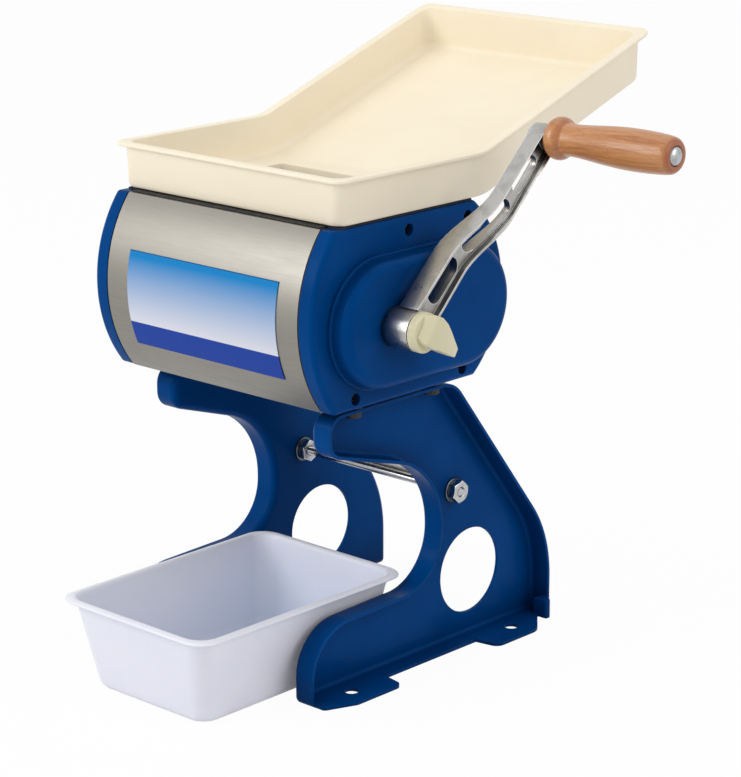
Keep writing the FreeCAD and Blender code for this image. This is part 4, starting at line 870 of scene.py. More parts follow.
@dataclass(frozen=True)
class LabelFilm:
    """Printed film: sky blue fading to white, over a plain royal blue band."""

    line_low: float = 261.3
    top: float = 258.5
    fade_end: float = 219.0
    band_top: float = 217.5
    blur: float = 0.15
    sky: Triple = srgb(0, 122, 186)
    pale: Triple = srgb(210, 211, 220)
    band: Triple = srgb(20, 60, 150)
    line: Triple = srgb(14, 62, 118)
    dust: Triple = srgb(250, 250, 255)

    def make(self) -> bpy.types.Material:
        """Make the material.

        Returns:
            The material.
        """
        graph = Graph("printed_film")
        high = graph.part(graph.place, 2)
        fade = graph.span(high, 0, 1, self.fade_end * MM, self.top * MM)
        in_band = graph.span(high, 1, 0, (self.band_top - self.blur) * MM,
                             (self.band_top + self.blur) * MM)
        in_line = graph.span(high, 0, 0.8, self.line_low * MM,
                             (self.line_low + 2 * self.blur) * MM)
        ink = graph.blend(in_band, graph.blend(fade, self.pale, self.sky), self.band)
        ink = graph.blend(in_line, ink, self.line)
        dusty = graph.span(graph.noise(0.5, 2), 0, 0.02)
        graph.set(Base_Color=graph.blend(dusty, ink, self.dust),
                  Roughness=graph.span(graph.noise(20), 0.3, 0.42), IOR=1.45,
                  Specular_IOR_Level=0.06)
        graph.relief(graph.noise(2.2, 2), 0.012)
        return graph.material


@dataclass(frozen=True)
class Seal:
    """Black gasket rubber, slightly dusty."""

    colour: Triple = srgb(20, 20, 22)
    dust: Triple = srgb(58, 57, 55)

    def make(self) -> bpy.types.Material:
        """Make the material.

        Returns:
            The material.
        """
        graph = Graph("black_rubber")
        dusty = graph.span(graph.noise(6, 5), 0, 0.6, 0.45, 0.8)
        graph.set(Base_Color=graph.blend(dusty, self.colour, self.dust),
                  Roughness=graph.span(graph.noise(2), 0.6, 0.85))
        graph.relief(graph.noise(0.4, 2), 0.02)
        return graph.material


class Finish(Enum):
    """Every finish of the slicer."""

    ENAMEL = Enamel()
    WRAP_STEEL = SatinSteel("brushed_wrap_steel", srgb(148, 145, 137), srgb(139, 136, 129),
                            roughness=0.36)
    PLAIN_STEEL = SatinSteel("plain_sheet_steel", srgb(206, 204, 200), srgb(176, 174, 170))
    TURNED_STEEL = SatinSteel("turned_steel", srgb(190, 190, 192), srgb(150, 150, 152),
                              stretch=(1, 0.02, 0.02), roughness=0.28)
    BLADE_STEEL = SatinSteel("ground_blade_steel", srgb(206, 208, 212), srgb(168, 170, 174),
                             stretch=(1, 0.3, 0.3), roughness=0.22)
    GEAR_STEEL = SatinSteel("greased_gear_steel", srgb(140, 136, 128), srgb(96, 90, 80),
                            stretch=(0.5, 1, 1))
    # POLISHED and PLATED take painted shade in their hollows and a painted highlight on their
    # edges.
    POLISHED = BrightMetal("polished_casting", srgb(184, 183, 180), srgb(120, 118, 114),
                           roughness=0.25, cloud=10, ripple=3, depth=0.06, hollow_shade=0.9)
    PLATED = BrightMetal("bright_zinc", srgb(190, 192, 194), srgb(120, 122, 126),
                         roughness=0.22, cloud=5, ripple=1.5, depth=0.02, hollow_shade=0.5)
    # The washers' darker zinc is painted shade between the nuts and the legs.
    DULL_ZINC = BrightMetal("dull_zinc", srgb(104, 112, 118), srgb(58, 64, 70),
                            roughness=0.3, cloud=4, ripple=1.5, depth=0.02)
    CHROME = BrightMetal("rod_chrome_finish", srgb(180, 182, 184), srgb(110, 112, 116),
                         roughness=0.14, cloud=20, ripple=3, depth=0.01)
    BRONZE = BrightMetal("sintered_bronze", srgb(190, 142, 84), srgb(128, 90, 50),
                         roughness=0.34, cloud=3, ripple=0.5, depth=0.03)
    CAST = BrightMetal("machined_casting", srgb(176, 176, 178), srgb(128, 128, 132),
                       roughness=0.42, cloud=8, ripple=0.8, depth=0.04)
    # Dark screws; on the leg bolts and spacers the dark is painted shade under the legs' top
    # flanges.
    DARK_SCREW = BrightMetal("dark_screw_metal", srgb(58, 58, 62), srgb(24, 24, 26),
                             roughness=0.3, cloud=2, ripple=0.8, depth=0.02)
    CREAM = Moulding("cream_moulding", srgb(243, 232, 208), srgb(238, 225, 199))
    # The white moulding's inside colour is painted shade inside the box.
    WHITE = Moulding("white_moulding", srgb(230, 230, 238), srgb(222, 222, 233),
                     glow=0.25, depth_of_glow=6, inside=srgb(205, 214, 232))
    KNOB = Moulding("knob_moulding", srgb(216, 209, 176), srgb(200, 191, 156), roughness=0.32)
    COMB = Moulding("comb_moulding", srgb(228, 228, 222), srgb(214, 214, 206))
    WOOD = VarnishedWood()
    FILM = LabelFilm()
    SEAL = Seal()

    @cached_property
    def material(self) -> bpy.types.Material:
        """Return the finish's material, made once."""
        return self.value.make()


# ----------------------------------------------------------- the crank's parts

@dataclass
class CrankLine:
    """Where the crank's shaft and arm are, and how they are turned."""

    axle_y: float = -63.8
    axle_z: float = 233.4
    angle: float = 44.4
    radius: float = 144.8

    @property
    def axle(self) -> Triple:
        """Return a point on the shaft's axis."""
        return 0.0, self.axle_y, self.axle_z

    @property
    def tip(self) -> Triple:
        """Find the grip's axis.

        Returns:
            A point on it.
        """
        turn = math.radians(self.angle)
        return (0.0, self.axle_y + self.radius * math.cos(turn),
                self.axle_z + self.radius * math.sin(turn))


@dataclass(frozen=True)
class ArmFace:
    """A broad face of the arm, which steps outwards on its way from hub to tip."""

    sign: int
    hub: float
    tip: float
    ramp: tuple[float, float]

    def out(self, along: float) -> float:
        """Return how far out the face stands at a place along the arm."""
        start, end = self.ramp
        return ease(self.hub, self.tip, (along - start) / (end - start))


@dataclass
class CrankArm:
    """The cast arm: two rails on a thin pierced web, a hub and a boss for the grip."""

    line: CrankLine
    front: ArmFace = ArmFace(1, 126.2, 139.2, (48.0, 93.0))
    back: ArmFace = ArmFace(-1, 111.7, 127.7, (51.0, 96.0))
    root_width: float = 19.5
    tip_width: float = 15.0
    rail: float = 1.6
    web: float = 6.0
    land: float = 1.4
    slack: float = 0.4
    least_sunk: float = 1.5
    hub_r: float = 12.0
    hub_start: float = 107.6
    hub_end: float = 127.2
    bore_r: float = 7.0
    boss_r: float = 7.6
    boss_proud: float = 0.3
    bolt_r: float = 3.5
    first: float = 8.6
    stations: int = 26
    slots: Outline = ((20.4, 51.6), (58.4, 96.6), (103.4, 129.9))
    slot_round: float = 0.98
    slot_reach: tuple[float, float] = (100.0, 150.0)
    bore_reach: tuple[float, float] = (100.0, 160.0)

    def half(self, along: float) -> float:
        """Return half the arm's width at a place along it."""
        share = along / self.line.radius
        return (self.root_width + (self.tip_width - self.root_width) * share) / 2

    def blank(self) -> Workpiece:
        """Shape the solid bar, stepped outwards over the ramp.

        Returns:
            The bar.
        """
        end = self.line.radius
        bar = Workpiece.block("crank_arm_casting", (0, self.first, -1), (1, end, 1))
        cuts = [self.first + (end - self.first) * n / self.stations
                for n in range(1, self.stations)]
        with bar.editing():
            for along in cuts:
                bar.slice(along)
            for along in [self.first, *cuts, end]:
                for edge, face in enumerate((self.back, self.front)):
                    bar.pick(Kind.VERTEX, at(y=along, x=edge))
                    bar.resize((1, 1, self.half(along)), (0, along, 0))
                    bar.move((face.out(along) - edge + AWAY, 0, 0))
            bar.pick(Kind.VERTEX, lambda v: True)
            bar.move((-AWAY, 0, 0))
        return bar

    def hollow(self, bar: Workpiece) -> None:
        """Sink the web between the rails, from the front and from the back.

        Args:
            bar: The solid bar.
        """
        hub_deep = (self.front.hub - self.back.hub - self.web) / 2
        tip_deep = (self.front.tip - self.back.tip - self.web) / 2
        with bar.editing():
            for face in (self.front, self.back):
                bar.pick(Kind.FACE, lambda f: f.normal.x * face.sign > 0.5)
                bar.inset(self.rail)
                bar.extrude((-face.sign * hub_deep, 0, 0))
                bar.pick(Kind.VERTEX, lambda v: self.in_pocket(middle(v), face))
                bar.move((face.sign * (hub_deep - tip_deep), 0, 0))

    def in_pocket(self, spot: Vector, face: ArmFace) -> bool:
        """Say whether a place is on the pocket's floor, past the middle of the ramp.

        Args:
            spot: The place.
            face: The face that the pocket is sunk from.

        Returns:
            Whether it is.
        """
        before = spot.y < sum(self.back.ramp) / 2
        if before or abs(spot.z) > self.half(spot.y) - self.rail + self.slack:
            return False
        return (face.out(spot.y) - spot.x) * face.sign > self.least_sunk

    def slot_tool(self, start: float, end: float) -> Workpiece:
        """Shape the cutter for one slot, rounded at both ends.

        Args:
            start: Where the slot starts along the arm.
            end: Where it ends.

        Returns:
            The cutter.
        """
        wide = self.half((start + end) / 2) - self.rail - self.land
        low, high = self.slot_reach
        tool = Workpiece.block("slot_cutter", (low, start, -wide), (high, end, wide))
        with tool.editing():
            tool.pick(Kind.EDGE, runs("x"))
            tool.round(wide * self.slot_round, 8)
        return tool

    def build(self) -> Workpiece:
        """Build the casting in place.

        Returns:
            The casting.
        """
        arm = self.blank()
        self.hollow(arm)
        for start, end in self.slots:
            arm.cut(self.slot_tool(start, end), Cut.REMOVE)
        hub = ((self.hub_start, self.bore_r), (self.hub_start, self.hub_r),
               (self.hub_end, self.hub_r), (self.hub_end, self.bore_r),
               (self.hub_start, self.bore_r))
        arm.cut(Workpiece.turned("hub", hub, 64, closed=True), Cut.ADD)
        boss = Workpiece.turned("boss", ((self.back.tip - self.boss_proud, self.boss_r),
                                         (self.front.tip + self.boss_proud, self.boss_r)))
        bore = Workpiece.turned("bore", [(x, self.bolt_r) for x in self.bore_reach], 32)
        for tool, how in ((boss, Cut.ADD), (bore, Cut.REMOVE)):
            tool.place((0, self.line.radius, 0))
            arm.cut(tool, how)
        arm.soften(0.5, 3, 40)
        arm.place(self.line.axle, self.line.angle)
        return arm

    def dress(self) -> None:
        """Build the arm and give it its polish."""
        self.build().fit("crank", Finish.POLISHED, "polished_arm", "crank_arm")


@dataclass
class HexNut:
    """A hexagon nut with its corners chamfered and its bore countersunk."""

    across: float
    thick: float
    bore_r: float
    flare: float = 0.5
    chamfer: float = 0.6
    face_share: float = 0.97
    spare: float = 0.1

    def build(self, name: str) -> Workpiece:
        """Build the nut, its seat at zero and its axis on X.

        Args:
            name: The piece's name.

        Returns:
            The nut.
        """
        nut = Workpiece.hexagon(name, self.across, self.thick)
        flat, corner = self.across / 2, self.across / math.sqrt(3)
        fall, low = (corner - flat) * self.chamfer, flat * self.face_share
        out = corner + self.spare
        lens = ((0, low), (fall, out), (self.thick - fall, out), (self.thick, low))
        nut.cut(Workpiece.turned("chamfer_tool", lens, 64), Cut.KEEP)
        wide = self.bore_r + 2 * self.flare
        bore = ((-self.flare, wide), (self.flare, self.bore_r),
                (self.thick - self.flare, self.bore_r), (self.thick + self.flare, wide))
        nut.cut(Workpiece.turned("bore_tool", bore, 32), Cut.REMOVE)
        nut.soften(0.15, 2, 25)
        return nut


@dataclass
class Grip:
    """The turned wooden grip, its bolt and its nut."""

    line: CrankLine
    start: float = 140.2
    length: float = 90.3
    bore_r: float = 3.58
    seat_r: float = 6.08
    seat_deep: float = 2.5
    seat_edge: float = 0.4
    bolt_r: float = 3.5
    bolt_gap: float = 0.08
    bolt_past: float = 1.0
    nut_across: float = 10.0
    nut_face: float = 127.2
    nut_thick: float = 3.0
    dome: Outline = ((0, 5.8), (0.3, 6), (1.2, 5.98), (2.2, 5.58), (3, 4.68), (3.6, 3.3),
                     (3.9, 1.68), (4, 0.3))
    outline: Outline = (
        (0.0, 9.8), (0.012, 11.2), (0.035, 12.5), (0.062, 12.95), (0.09, 12.55), (0.115, 11.2),
        (0.135, 9.95), (0.165, 9.72), (0.216, 9.8), (0.30, 10.35), (0.41, 11.25), (0.55, 12.2),
        (0.68, 12.5), (0.79, 12.35), (0.886, 11.85), (0.945, 11.35), (0.975, 10.7), (0.992, 9.6),
        (1.0, 8.6))

    @property
    def end(self) -> float:
        """Return where the wood ends."""
        return self.start + self.length

    def wood(self) -> Workpiece:
        """Build the grip with its bore and the seat of the bolt's head.

        Returns:
            The grip.
        """
        skin = smooth_line([(self.start + self.length * at_share, r)
                            for at_share, r in self.outline], 3)
        seat = self.end - self.seat_deep
        profile = [*skin, (self.end, self.seat_r + self.seat_edge),
                   (self.end - self.seat_edge, self.seat_r), (seat, self.seat_r),
                   (seat, self.bore_r), (self.start, self.bore_r), skin[0]]
        grip = Workpiece.turned("wooden_grip", profile, 72, closed=True)
        grip.smooth(38)
        grip.place(self.line.tip)
        return grip

    def bolt(self) -> Workpiece:
        """Build the bolt with its domed head.

        Returns:
            The bolt.
        """
        seat = self.end - self.seat_deep + self.bolt_gap
        tail = self.nut_face - self.nut_thick - self.bolt_past
        profile = [(tail, self.bolt_r - 0.5), (tail + 0.5, self.bolt_r), (seat, self.bolt_r),
                   *((seat + high, r) for high, r in self.dome)]
        bolt = Workpiece.turned("grip_bolt", profile)
        bolt.smooth(30)
        bolt.place(self.line.tip)
        return bolt

    def dress(self) -> None:
        """Build the grip's pieces and finish them."""
        self.wood().fit("grip", Finish.WOOD, "grip_wood", "handle_grip")
        self.bolt().fit("crank", Finish.PLATED, "bright_steel", "handle_bolt")
        nut = HexNut(self.nut_across, self.nut_thick, self.bolt_r).build("grip_nut")
        nut.place((self.nut_face - self.nut_thick, *self.line.tip[1:]), self.line.angle)
        nut.fit("crank", Finish.PLATED, "bright_steel", "handle_nut")


@dataclass(frozen=True)
class WingRow:
    """The knob's wing at a place along it: its top, its foot and how wide it is."""

    along: float
    top: float
    foot: float
    left: float
    right: float


@dataclass
class WingKnob:
    """The moulded knob that holds the crank on: a round base with one broad wing."""

    line: CrankLine
    start: float = 127.2
    base_high: float = 6.0
    base_r: float = 12.0
    foot: float = 0.8
    crown_high: float = 13.0
    crown_inset: float = 2.0
    crown_rise: float = 0.6
    hang: float = -31.0
    rows: Sequence[WingRow] = (
        WingRow(-7.5, 6.8, 0, 5.0, 8.6), WingRow(-3.0, 10.9, 0, 7.6, 10.9),
        WingRow(2.0, 12.2, 0, 8.0, 11.4), WingRow(8.0, 12.0, 0, 6.9, 9.9),
        WingRow(14.0, 10.9, 0, 6.2, 7.6), WingRow(20.0, 9.4, 0.2, 5.5, 5.2),
        WingRow(25.5, 8.0, 0.5, 4.9, 3.1), WingRow(29.5, 6.9, 1.0, 4.2, 1.5))

    def wing(self) -> Workpiece:
        """Shape the wing from a block, row by row.

        Returns:
            The wing.
        """
        wing = Workpiece.block("wing", (self.foot, self.rows[0].along, -1.0),
                               (self.crown_high, self.rows[-1].along, 1.0))
        with wing.editing():
            for row in self.rows[1:-1]:
                wing.slice(row.along)
            for row in self.rows:
                for edge, wide in ((-1.0, row.left), (1.0, row.right)):
                    wing.pick(Kind.VERTEX, at(y=row.along, z=edge))
                    wing.move((0, 0, (wide - 1) * edge))
                for high, shift in ((self.crown_high, row.top - self.crown_high),
                                    (self.foot, row.foot)):
                    wing.pick(Kind.VERTEX, at(y=row.along, x=high))
                    wing.move((shift, 0, 0))
            wing.pick(Kind.FACE, lambda f: f.normal.x > 0.6)
            wing.inset(self.crown_inset)
            wing.move((self.crown_rise, 0, 0))
        wing.bevel(0.8, 3, 25)
        return wing

    def build(self) -> Workpiece:
        """Build the knob in place.

        Returns:
            The knob.
        """
        knob = Workpiece.turned("wing_knob_moulding", (
            (0, self.base_r - 1.0), (0.8, self.base_r), (self.base_high - 1.6, self.base_r),
            (self.base_high, self.base_r - 1.2)), 56)
        knob.cut(self.wing(), Cut.ADD)
        knob.soften(0.5, 3, 30)
        knob.place((self.start, self.line.axle_y, self.line.axle_z), self.hang)
        return knob

    def dress(self) -> None:
        """Build the knob and finish it."""
        self.build().fit("knob", Finish.KNOB, "knob_plastic", "wing_knob")


# ------------------------------------------------------------ rod and fasteners

@dataclass
class TieRod:
    """The threaded rod between the legs, with its washers and nuts."""

    y: float = 35.0
    z: float = 101.0
    rod_r: float = 3.0
    reach: float = 75.3
    thread: float = 22.0
    pitch: float = 1.0
    thread_deep: float = 0.55
    crest: tuple[float, float] = (0.45, 0.6)
    neck: tuple[float, float] = (0.8, 0.25)
    point: Outline = ((0.6, 0.5), (0.0, 1.1))
    web: float = 65.0
    sheet: float = 2.0
    fit_gap: float = 0.02
    washer_r: float = 8.0
    washer: float = 1.6
    nut_across: float = 13.0
    nut: float = 5.5
    nut_turn: float = 17.0

    def rod(self) -> Workpiece:
        """Build the rod, threaded at both ends.

        Returns:
            The rod.
        """
        along = self.reach - self.thread
        half = [(along - self.neck[0], self.rod_r - self.neck[1])]
        while along < self.reach - self.pitch:
            half.append((along, self.rod_r - self.thread_deep))
            half += [(along + self.pitch * share, self.rod_r) for share in self.crest]
            along += self.pitch
        half += [(self.reach - back, self.rod_r - fall) for back, fall in self.point]
        rod = Workpiece.turned("tie_rod_threaded", [(-x, r) for x, r in half[::-1]] + half, 32)
        rod.smooth(28)
        rod.place((0, self.y, self.z))
        return rod

    def dress(self) -> None:
        """Build the rod's set and finish it."""
        self.rod().fit("frame", Finish.CHROME, "rod_chrome", "tie_rod")
        bore_r = self.rod_r + self.fit_gap
        washer = Workpiece.sleeve("washer", (bore_r, self.washer_r), self.washer, (0.3, 0.5))
        nut = HexNut(self.nut_across, self.nut, bore_r).build("rod_nut")
        inner, outer = self.web, self.web + self.sheet
        places = {
            "right_inner": (inner - self.washer, inner - self.washer - self.nut),
            "right_outer": (outer, outer + self.washer),
            "left_inner": (-inner, self.washer - inner),
            "left_outer": (-outer - self.washer, -outer - self.washer - self.nut),
        }
        # The washers are darker than the nuts as painted shade.
        for number, (name, (washer_x, nut_x)) in enumerate(places.items()):
            for source, kind, x, finish, turn in (
                    (washer, "washer", washer_x, Finish.DULL_ZINC, 0),
                    (nut, "nut", nut_x, Finish.PLATED, self.nut_turn * number)):
                piece = source.copy(f"rod_{kind}_{name}")
                piece.place((x, self.y, self.z), turn)
                piece.fit("frame", finish, "bright_steel", f"tie_rod_{kind}s")
        washer.discard()
        nut.discard()


@dataclass
class CoverScrews:
    """The recessed cross-head screws of both covers."""

    spots: Outline = ((-35.5, 284.0), (17.2, 284.0), (-81.8, 189.95), (13.0, 189.95))
    face: float = 90.6
    head: float = 4.0
    head_r: float = 3.5
    shank_r: float = 2.0
    tail: float = 71.0
    dome: Outline = ((1.2, 0.0), (0.5, 0.35), (0.0, 1.3))
    cross_half: float = 1.9
    cross_wide: float = 1.1
    cross_deep: float = 1.8
    turn: float = 23.0

    def screw(self) -> Workpiece:
        """Build one screw, standing in the right cover but on the X axis.

        Returns:
            The screw.
        """
        low = self.face - self.head
        body = Workpiece.turned("cover_screw", (
            (self.tail, self.shank_r - 0.5), (self.tail + 0.5, self.shank_r),
            (low, self.shank_r), (low, self.head_r),
            *((self.face - back, self.head_r - fall) for back, fall in self.dome)), 32)
        half = self.cross_wide / 2
        for turn in (0, 90):
            blade = Workpiece.block(
                "driver", (self.face - self.cross_deep, -half, -self.cross_half),
                (self.face + 1, half, self.cross_half))
            blade.place((0, 0, 0), turn)
            body.cut(blade, Cut.REMOVE)
        body.smooth(30)
        return body

    def dress(self) -> None:
        """Place four screws on each side."""
        screw = self.screw()
        for side in Side:
            for number, (y, z) in enumerate(self.spots, start=1):
                piece = screw.copy(f"{side.word}_cover_screw_{number}")
                piece.place((0, y, z), self.turn * number, mirror=side is Side.LEFT)
                piece.fit("frame", Finish.DARK_SCREW, "bright_steel",
                          f"{side.word}_cover_screws")
        screw.discard()


@dataclass
class LegBolts:
    """The bolts and spacers that join each leg's top edge to its side plate."""

    ends: Sequence[tuple[str, float]] = (("front", -64.8), ("rear", 5.0))
    x: float = 75.0
    leg_top: float = 178.0
    sheet: float = 2.0
    shank_r: float = 3.0
    shank_top: float = 198.3
    head: float = 4.0
    across: float = 9.0
    spacer_r: float = 6.0
    spacer_top: float = 184.3

    def bolt(self) -> Workpiece:
        """Build one bolt, its head's face at zero and its axis on X.

        Returns:
            The bolt.
        """
        end = self.head + self.shank_top - self.leg_top + self.sheet
        bolt = HexNut(self.across, self.head, 1.0).build("leg_bolt")
        shank = ((0, self.shank_r - 0.1), (end - 0.6, self.shank_r), (end, self.shank_r - 0.6))
        bolt.cut(Workpiece.turned("shank", shank, 32), Cut.ADD)
        return bolt

    def dress(self) -> None:
        """Place two bolts and two spacers on each side."""
        spacer = Workpiece.sleeve("leg_spacer", (self.shank_r, self.spacer_r),
                                  self.spacer_top - self.leg_top, (0.4, 0.4), 40)
        seat = self.leg_top - self.sheet - self.head
        # The leg bolts and spacers are dark as painted shade under the legs' top flanges.
        for source, kind, z in ((self.bolt(), "leg_bolt", seat),
                                (spacer, "leg_spacer", self.leg_top)):
            for side in Side:
                for end, y in self.ends:
                    piece = source.copy(f"{kind}_{side.word}_{end}")
                    piece.place((self.x * side.value, y, z), -90, "Y")
                    piece.fit("frame", Finish.DARK_SCREW, "bright_steel", f"{kind}s")
            source.discard()


# -------------------------------------------------------------- the cutting set

@dataclass
class BladeStack:
    """One shaft's round blades, ground to an edge."""

    name: str
    body: str
    y: float
    first: float
    z: float = 233.4
    pitch: float = 8.0
    count: int = 16
    thick: float = 1.2
    bore_r: float = 10.0
    blade_r: float = 35.0
    grind: float = 3.0
    edge: float = 0.24

    def dress(self) -> None:
        """Build one blade and copy it along the shaft."""
        root, middle_x, half = self.blade_r - self.grind, self.thick / 2, self.edge / 2
        blade = Workpiece.turned("blade", (
            (0, self.bore_r), (0, root), (middle_x - half, self.blade_r),
            (middle_x + half, self.blade_r), (self.thick, root),
            (self.thick, self.bore_r), (0, self.bore_r)), 96, closed=True)
        blade.smooth(4)
        for number in range(self.count):
            piece = blade.copy(f"{self.name}_{number + 1:02d}")
            piece.place((self.first + number * self.pitch, self.y, self.z))
            piece.fit(self.body, Finish.BLADE_STEEL, "blade_steel", f"{self.name}s")
        blade.discard()


# ------------------------------------------------------------- the CAD's pieces

@dataclass
class KeptNodes:
    """The CAD's own pieces, each under its finish."""

    nodes: dict[str, bpy.types.Object]

    def dress(self) -> None:
        """Give every node its finish."""
        finishes = {
            Finish.ENAMEL: ("right_leg", "left_leg", "right_cover", "left_cover"),
            Finish.WRAP_STEEL: ("front_wrap", "rear_wrap"),
            Finish.PLAIN_STEEL: ("rear_deflector", "front_spacers", "rear_spacers"),
            Finish.TURNED_STEEL: ("front_shaft", "rear_shaft", "front_clip", "rear_clip"),
            Finish.BLADE_STEEL: ("front_blades", "rear_blades"),
            Finish.GEAR_STEEL: ("drive_gear", "driven_gear"),
            Finish.CAST: ("right_side_plate", "left_side_plate"),
            Finish.BRONZE: ("shaft_bushings",),
            Finish.COMB: ("front_comb", "rear_comb"),
            # The tray_gasket is a seal, and its black also stands in for the shadow gap under the
            # tray, a painted shade.
            Finish.SEAL: ("right_seam", "left_seam", "tray_gasket"),
            Finish.FILM: ("label_plate",),
            Finish.CREAM: ("hopper_tray",),
            Finish.WHITE: ("catch_box",),
            Finish.POLISHED: ("crank_arm",),
            Finish.KNOB: ("wing_knob",),
            Finish.WOOD: ("handle_grip",),
            Finish.CHROME: ("tie_rod",),
            Finish.PLATED: ("tie_rod_nuts", "handle_bolt", "handle_nut"),
            # The washers' darker zinc is painted shade.
            Finish.DULL_ZINC: ("tie_rod_washers",),
            # On leg_bolts and leg_spacers this dark is painted shade under the legs' top flanges.
            Finish.DARK_SCREW: ("right_cover_screws", "left_cover_screws", "leg_bolts",
                                "leg_spacers"),
        }
        for finish, names in finishes.items():
            for name in names:
                for slot in self.nodes[name].material_slots:
                    slot.material = finish.material
                LOG.info("%s: %s", name, finish.material.name)


# ------------------------------------------------------------ the tray and box

@dataclass
class FeedTray:
    """The tray: a level feeding end, a sloping rest, a thin rim and a throat."""

    floor: float = 293.7
    half: float = 92.0
    front: float = 93.2
    kink: float = 34.2
    run: float = 162.5
    slope: float = 19.4
    depth: float = 28.5
    flare: float = 0.8
    rear_lean: float = 9.5
    wall: float = 2.5
    rim_thick: float = 2.5
    rim: Outline = ((3.6, 0.05), (4.15, 0.5), (4.3, 1.25), (4.15, 2.0), (3.6, 2.42), (2.7, 2.5),
                    (-1.6, 2.5), (-2.25, 2.2), (-2.5, 1.5))
    corner: float = 7.5
    foot_round: float = 2.2
    floor_round: float = 5.0
    bend_round: float = 5.0
    mouth_half: float = 64.8
    mouth_front: float = -76.0
    mouth_rear: float = 18.0
    mouth_corner: float = 3.0
    mouth_edge: float = 0.8
    throat: float = 2.0
    throat_low: float = 280.7

    def ring(self, share: float, out: float, high: float) -> Ring:
        """Give an outline of the tray while its floor is still flat.

        Args:
            share: How far up the wall it is, for the wall's lean, from 0 to 1.
            out: How far it stands outside the wall.
            high: Its height over the tray's underside.

        Returns:
            The outline.
        """
        lean = self.flare * share + out
        return Ring(self.half + lean, -self.front - lean,
                    self.kink + self.run + self.rear_lean * share + out, high)

    def rings(self) -> list[Ring]:
        """Give every outline from the underside to the floor inside.

        Returns:
            The outlines, in order.
        """
        foot, inner, high = self.foot_round, self.floor_round, self.depth
        under, low = high - self.rim_thick, self.wall + self.floor_round
        rings = [self.ring(0, -foot, 0), self.ring(0, -foot * 0.3, foot * 0.3),
                 self.ring(0.05, 0, foot), self.ring((under - 1) / high, 0, under - 1),
                 self.ring(under / high, 0.4, under)]
        rings += [self.ring(1, out, under + up) for out, up in self.rim]
        for step in range(6):
            turn = math.radians(18 * step)
            rings.append(self.ring(low / high, -self.wall - inner * (1 - math.cos(turn)),
                                   self.wall + inner * (1 - math.sin(turn))))
        return rings

    def fold(self, tray: Workpiece) -> None:
        """Fold the flat tray up at the kink, mitred across its walls.

        Args:
            tray: The flat tray.
        """
        lean = math.tan(math.radians(self.slope / 2))
        level = NEAR / 5
        with tray.editing():
            tray.slice(self.kink)
            for high in sorted({ring.high for ring in self.rings()}):
                tray.pick(Kind.VERTEX, lambda v: abs(middle(v).y - self.kink) < NEAR
                          and abs(middle(v).z - high) < level)
                tray.move((0, -AWAY - high * lean, 0))
            tray.pick(Kind.VERTEX, lambda v: middle(v).y < -AWAY / 2)
            tray.move((0, AWAY, 0))
            tray.pick(Kind.VERTEX, lambda v: middle(v).y > self.kink + NEAR)
            bpy.ops.transform.rotate(value=-math.radians(self.slope), orient_axis="X",
                                     center_override=metres((0, self.kink, 0)))
            tray.pick(Kind.EDGE, lambda e: all(abs(v.co.y / MM - self.kink + v.co.z / MM * lean)
                                               < NEAR * 2 for v in e.verts))
            tray.round(self.bend_round, 4)

    def plug(self, name: str, wider: float, low: float, high: float, corner: float) -> Workpiece:
        """Shape a plug in the mouth's outline.

        Args:
            name: The plug's name.
            wider: How far it stands outside the mouth.
            low: Where it starts.
            high: Where it ends.
            corner: The radius of its upright corners.

        Returns:
            The plug.
        """
        plug = Workpiece.block(name, (-self.mouth_half - wider, self.mouth_front - wider, low),
                               (self.mouth_half + wider, self.mouth_rear + wider, high))
        with plug.editing():
            plug.pick(Kind.EDGE, runs("z"))
            plug.round(corner, 5)
        return plug

    def on_rim(self, edge: bmesh.types.BMEdge) -> bool:
        """Say whether an edge lies on the mouth's upper rim.

        Args:
            edge: The edge.

        Returns:
            Whether both its ends do.
        """
        return all(abs(spot.z - self.floor - self.wall) < NEAR
                   and abs(spot.x) < self.mouth_half + NEAR
                   and self.mouth_front - NEAR < spot.y < self.mouth_rear + NEAR
                   for spot in (v.co / MM for v in edge.verts))

    def build(self) -> Workpiece:
        """Build the tray in place.

        Returns:
            The tray.
        """
        tray = Workpiece.moulded("feed_tray_moulding", self.corner, self.rings())
        self.fold(tray)
        tray.place((0, 0, self.floor))
        side, low, level = self.throat, self.throat_low, self.floor + self.wall
        skirt = self.plug("throat", side, low, self.floor + self.wall / 2,
                          self.mouth_corner + side)
        mouth = self.plug("mouth", 0, low - side, level + self.wall, self.mouth_corner)
        tray.cut(skirt, Cut.ADD)
        tray.cut(mouth, Cut.REMOVE)
        with tray.editing():
            tray.pick(Kind.EDGE, self.on_rim)
            tray.round(self.mouth_edge, 3)
        tray.smooth(40)
        return tray

    def dress(self) -> None:
        """Build the tray and finish it."""
        self.build().fit("tray", Finish.CREAM, "cream_plastic", "hopper_tray")


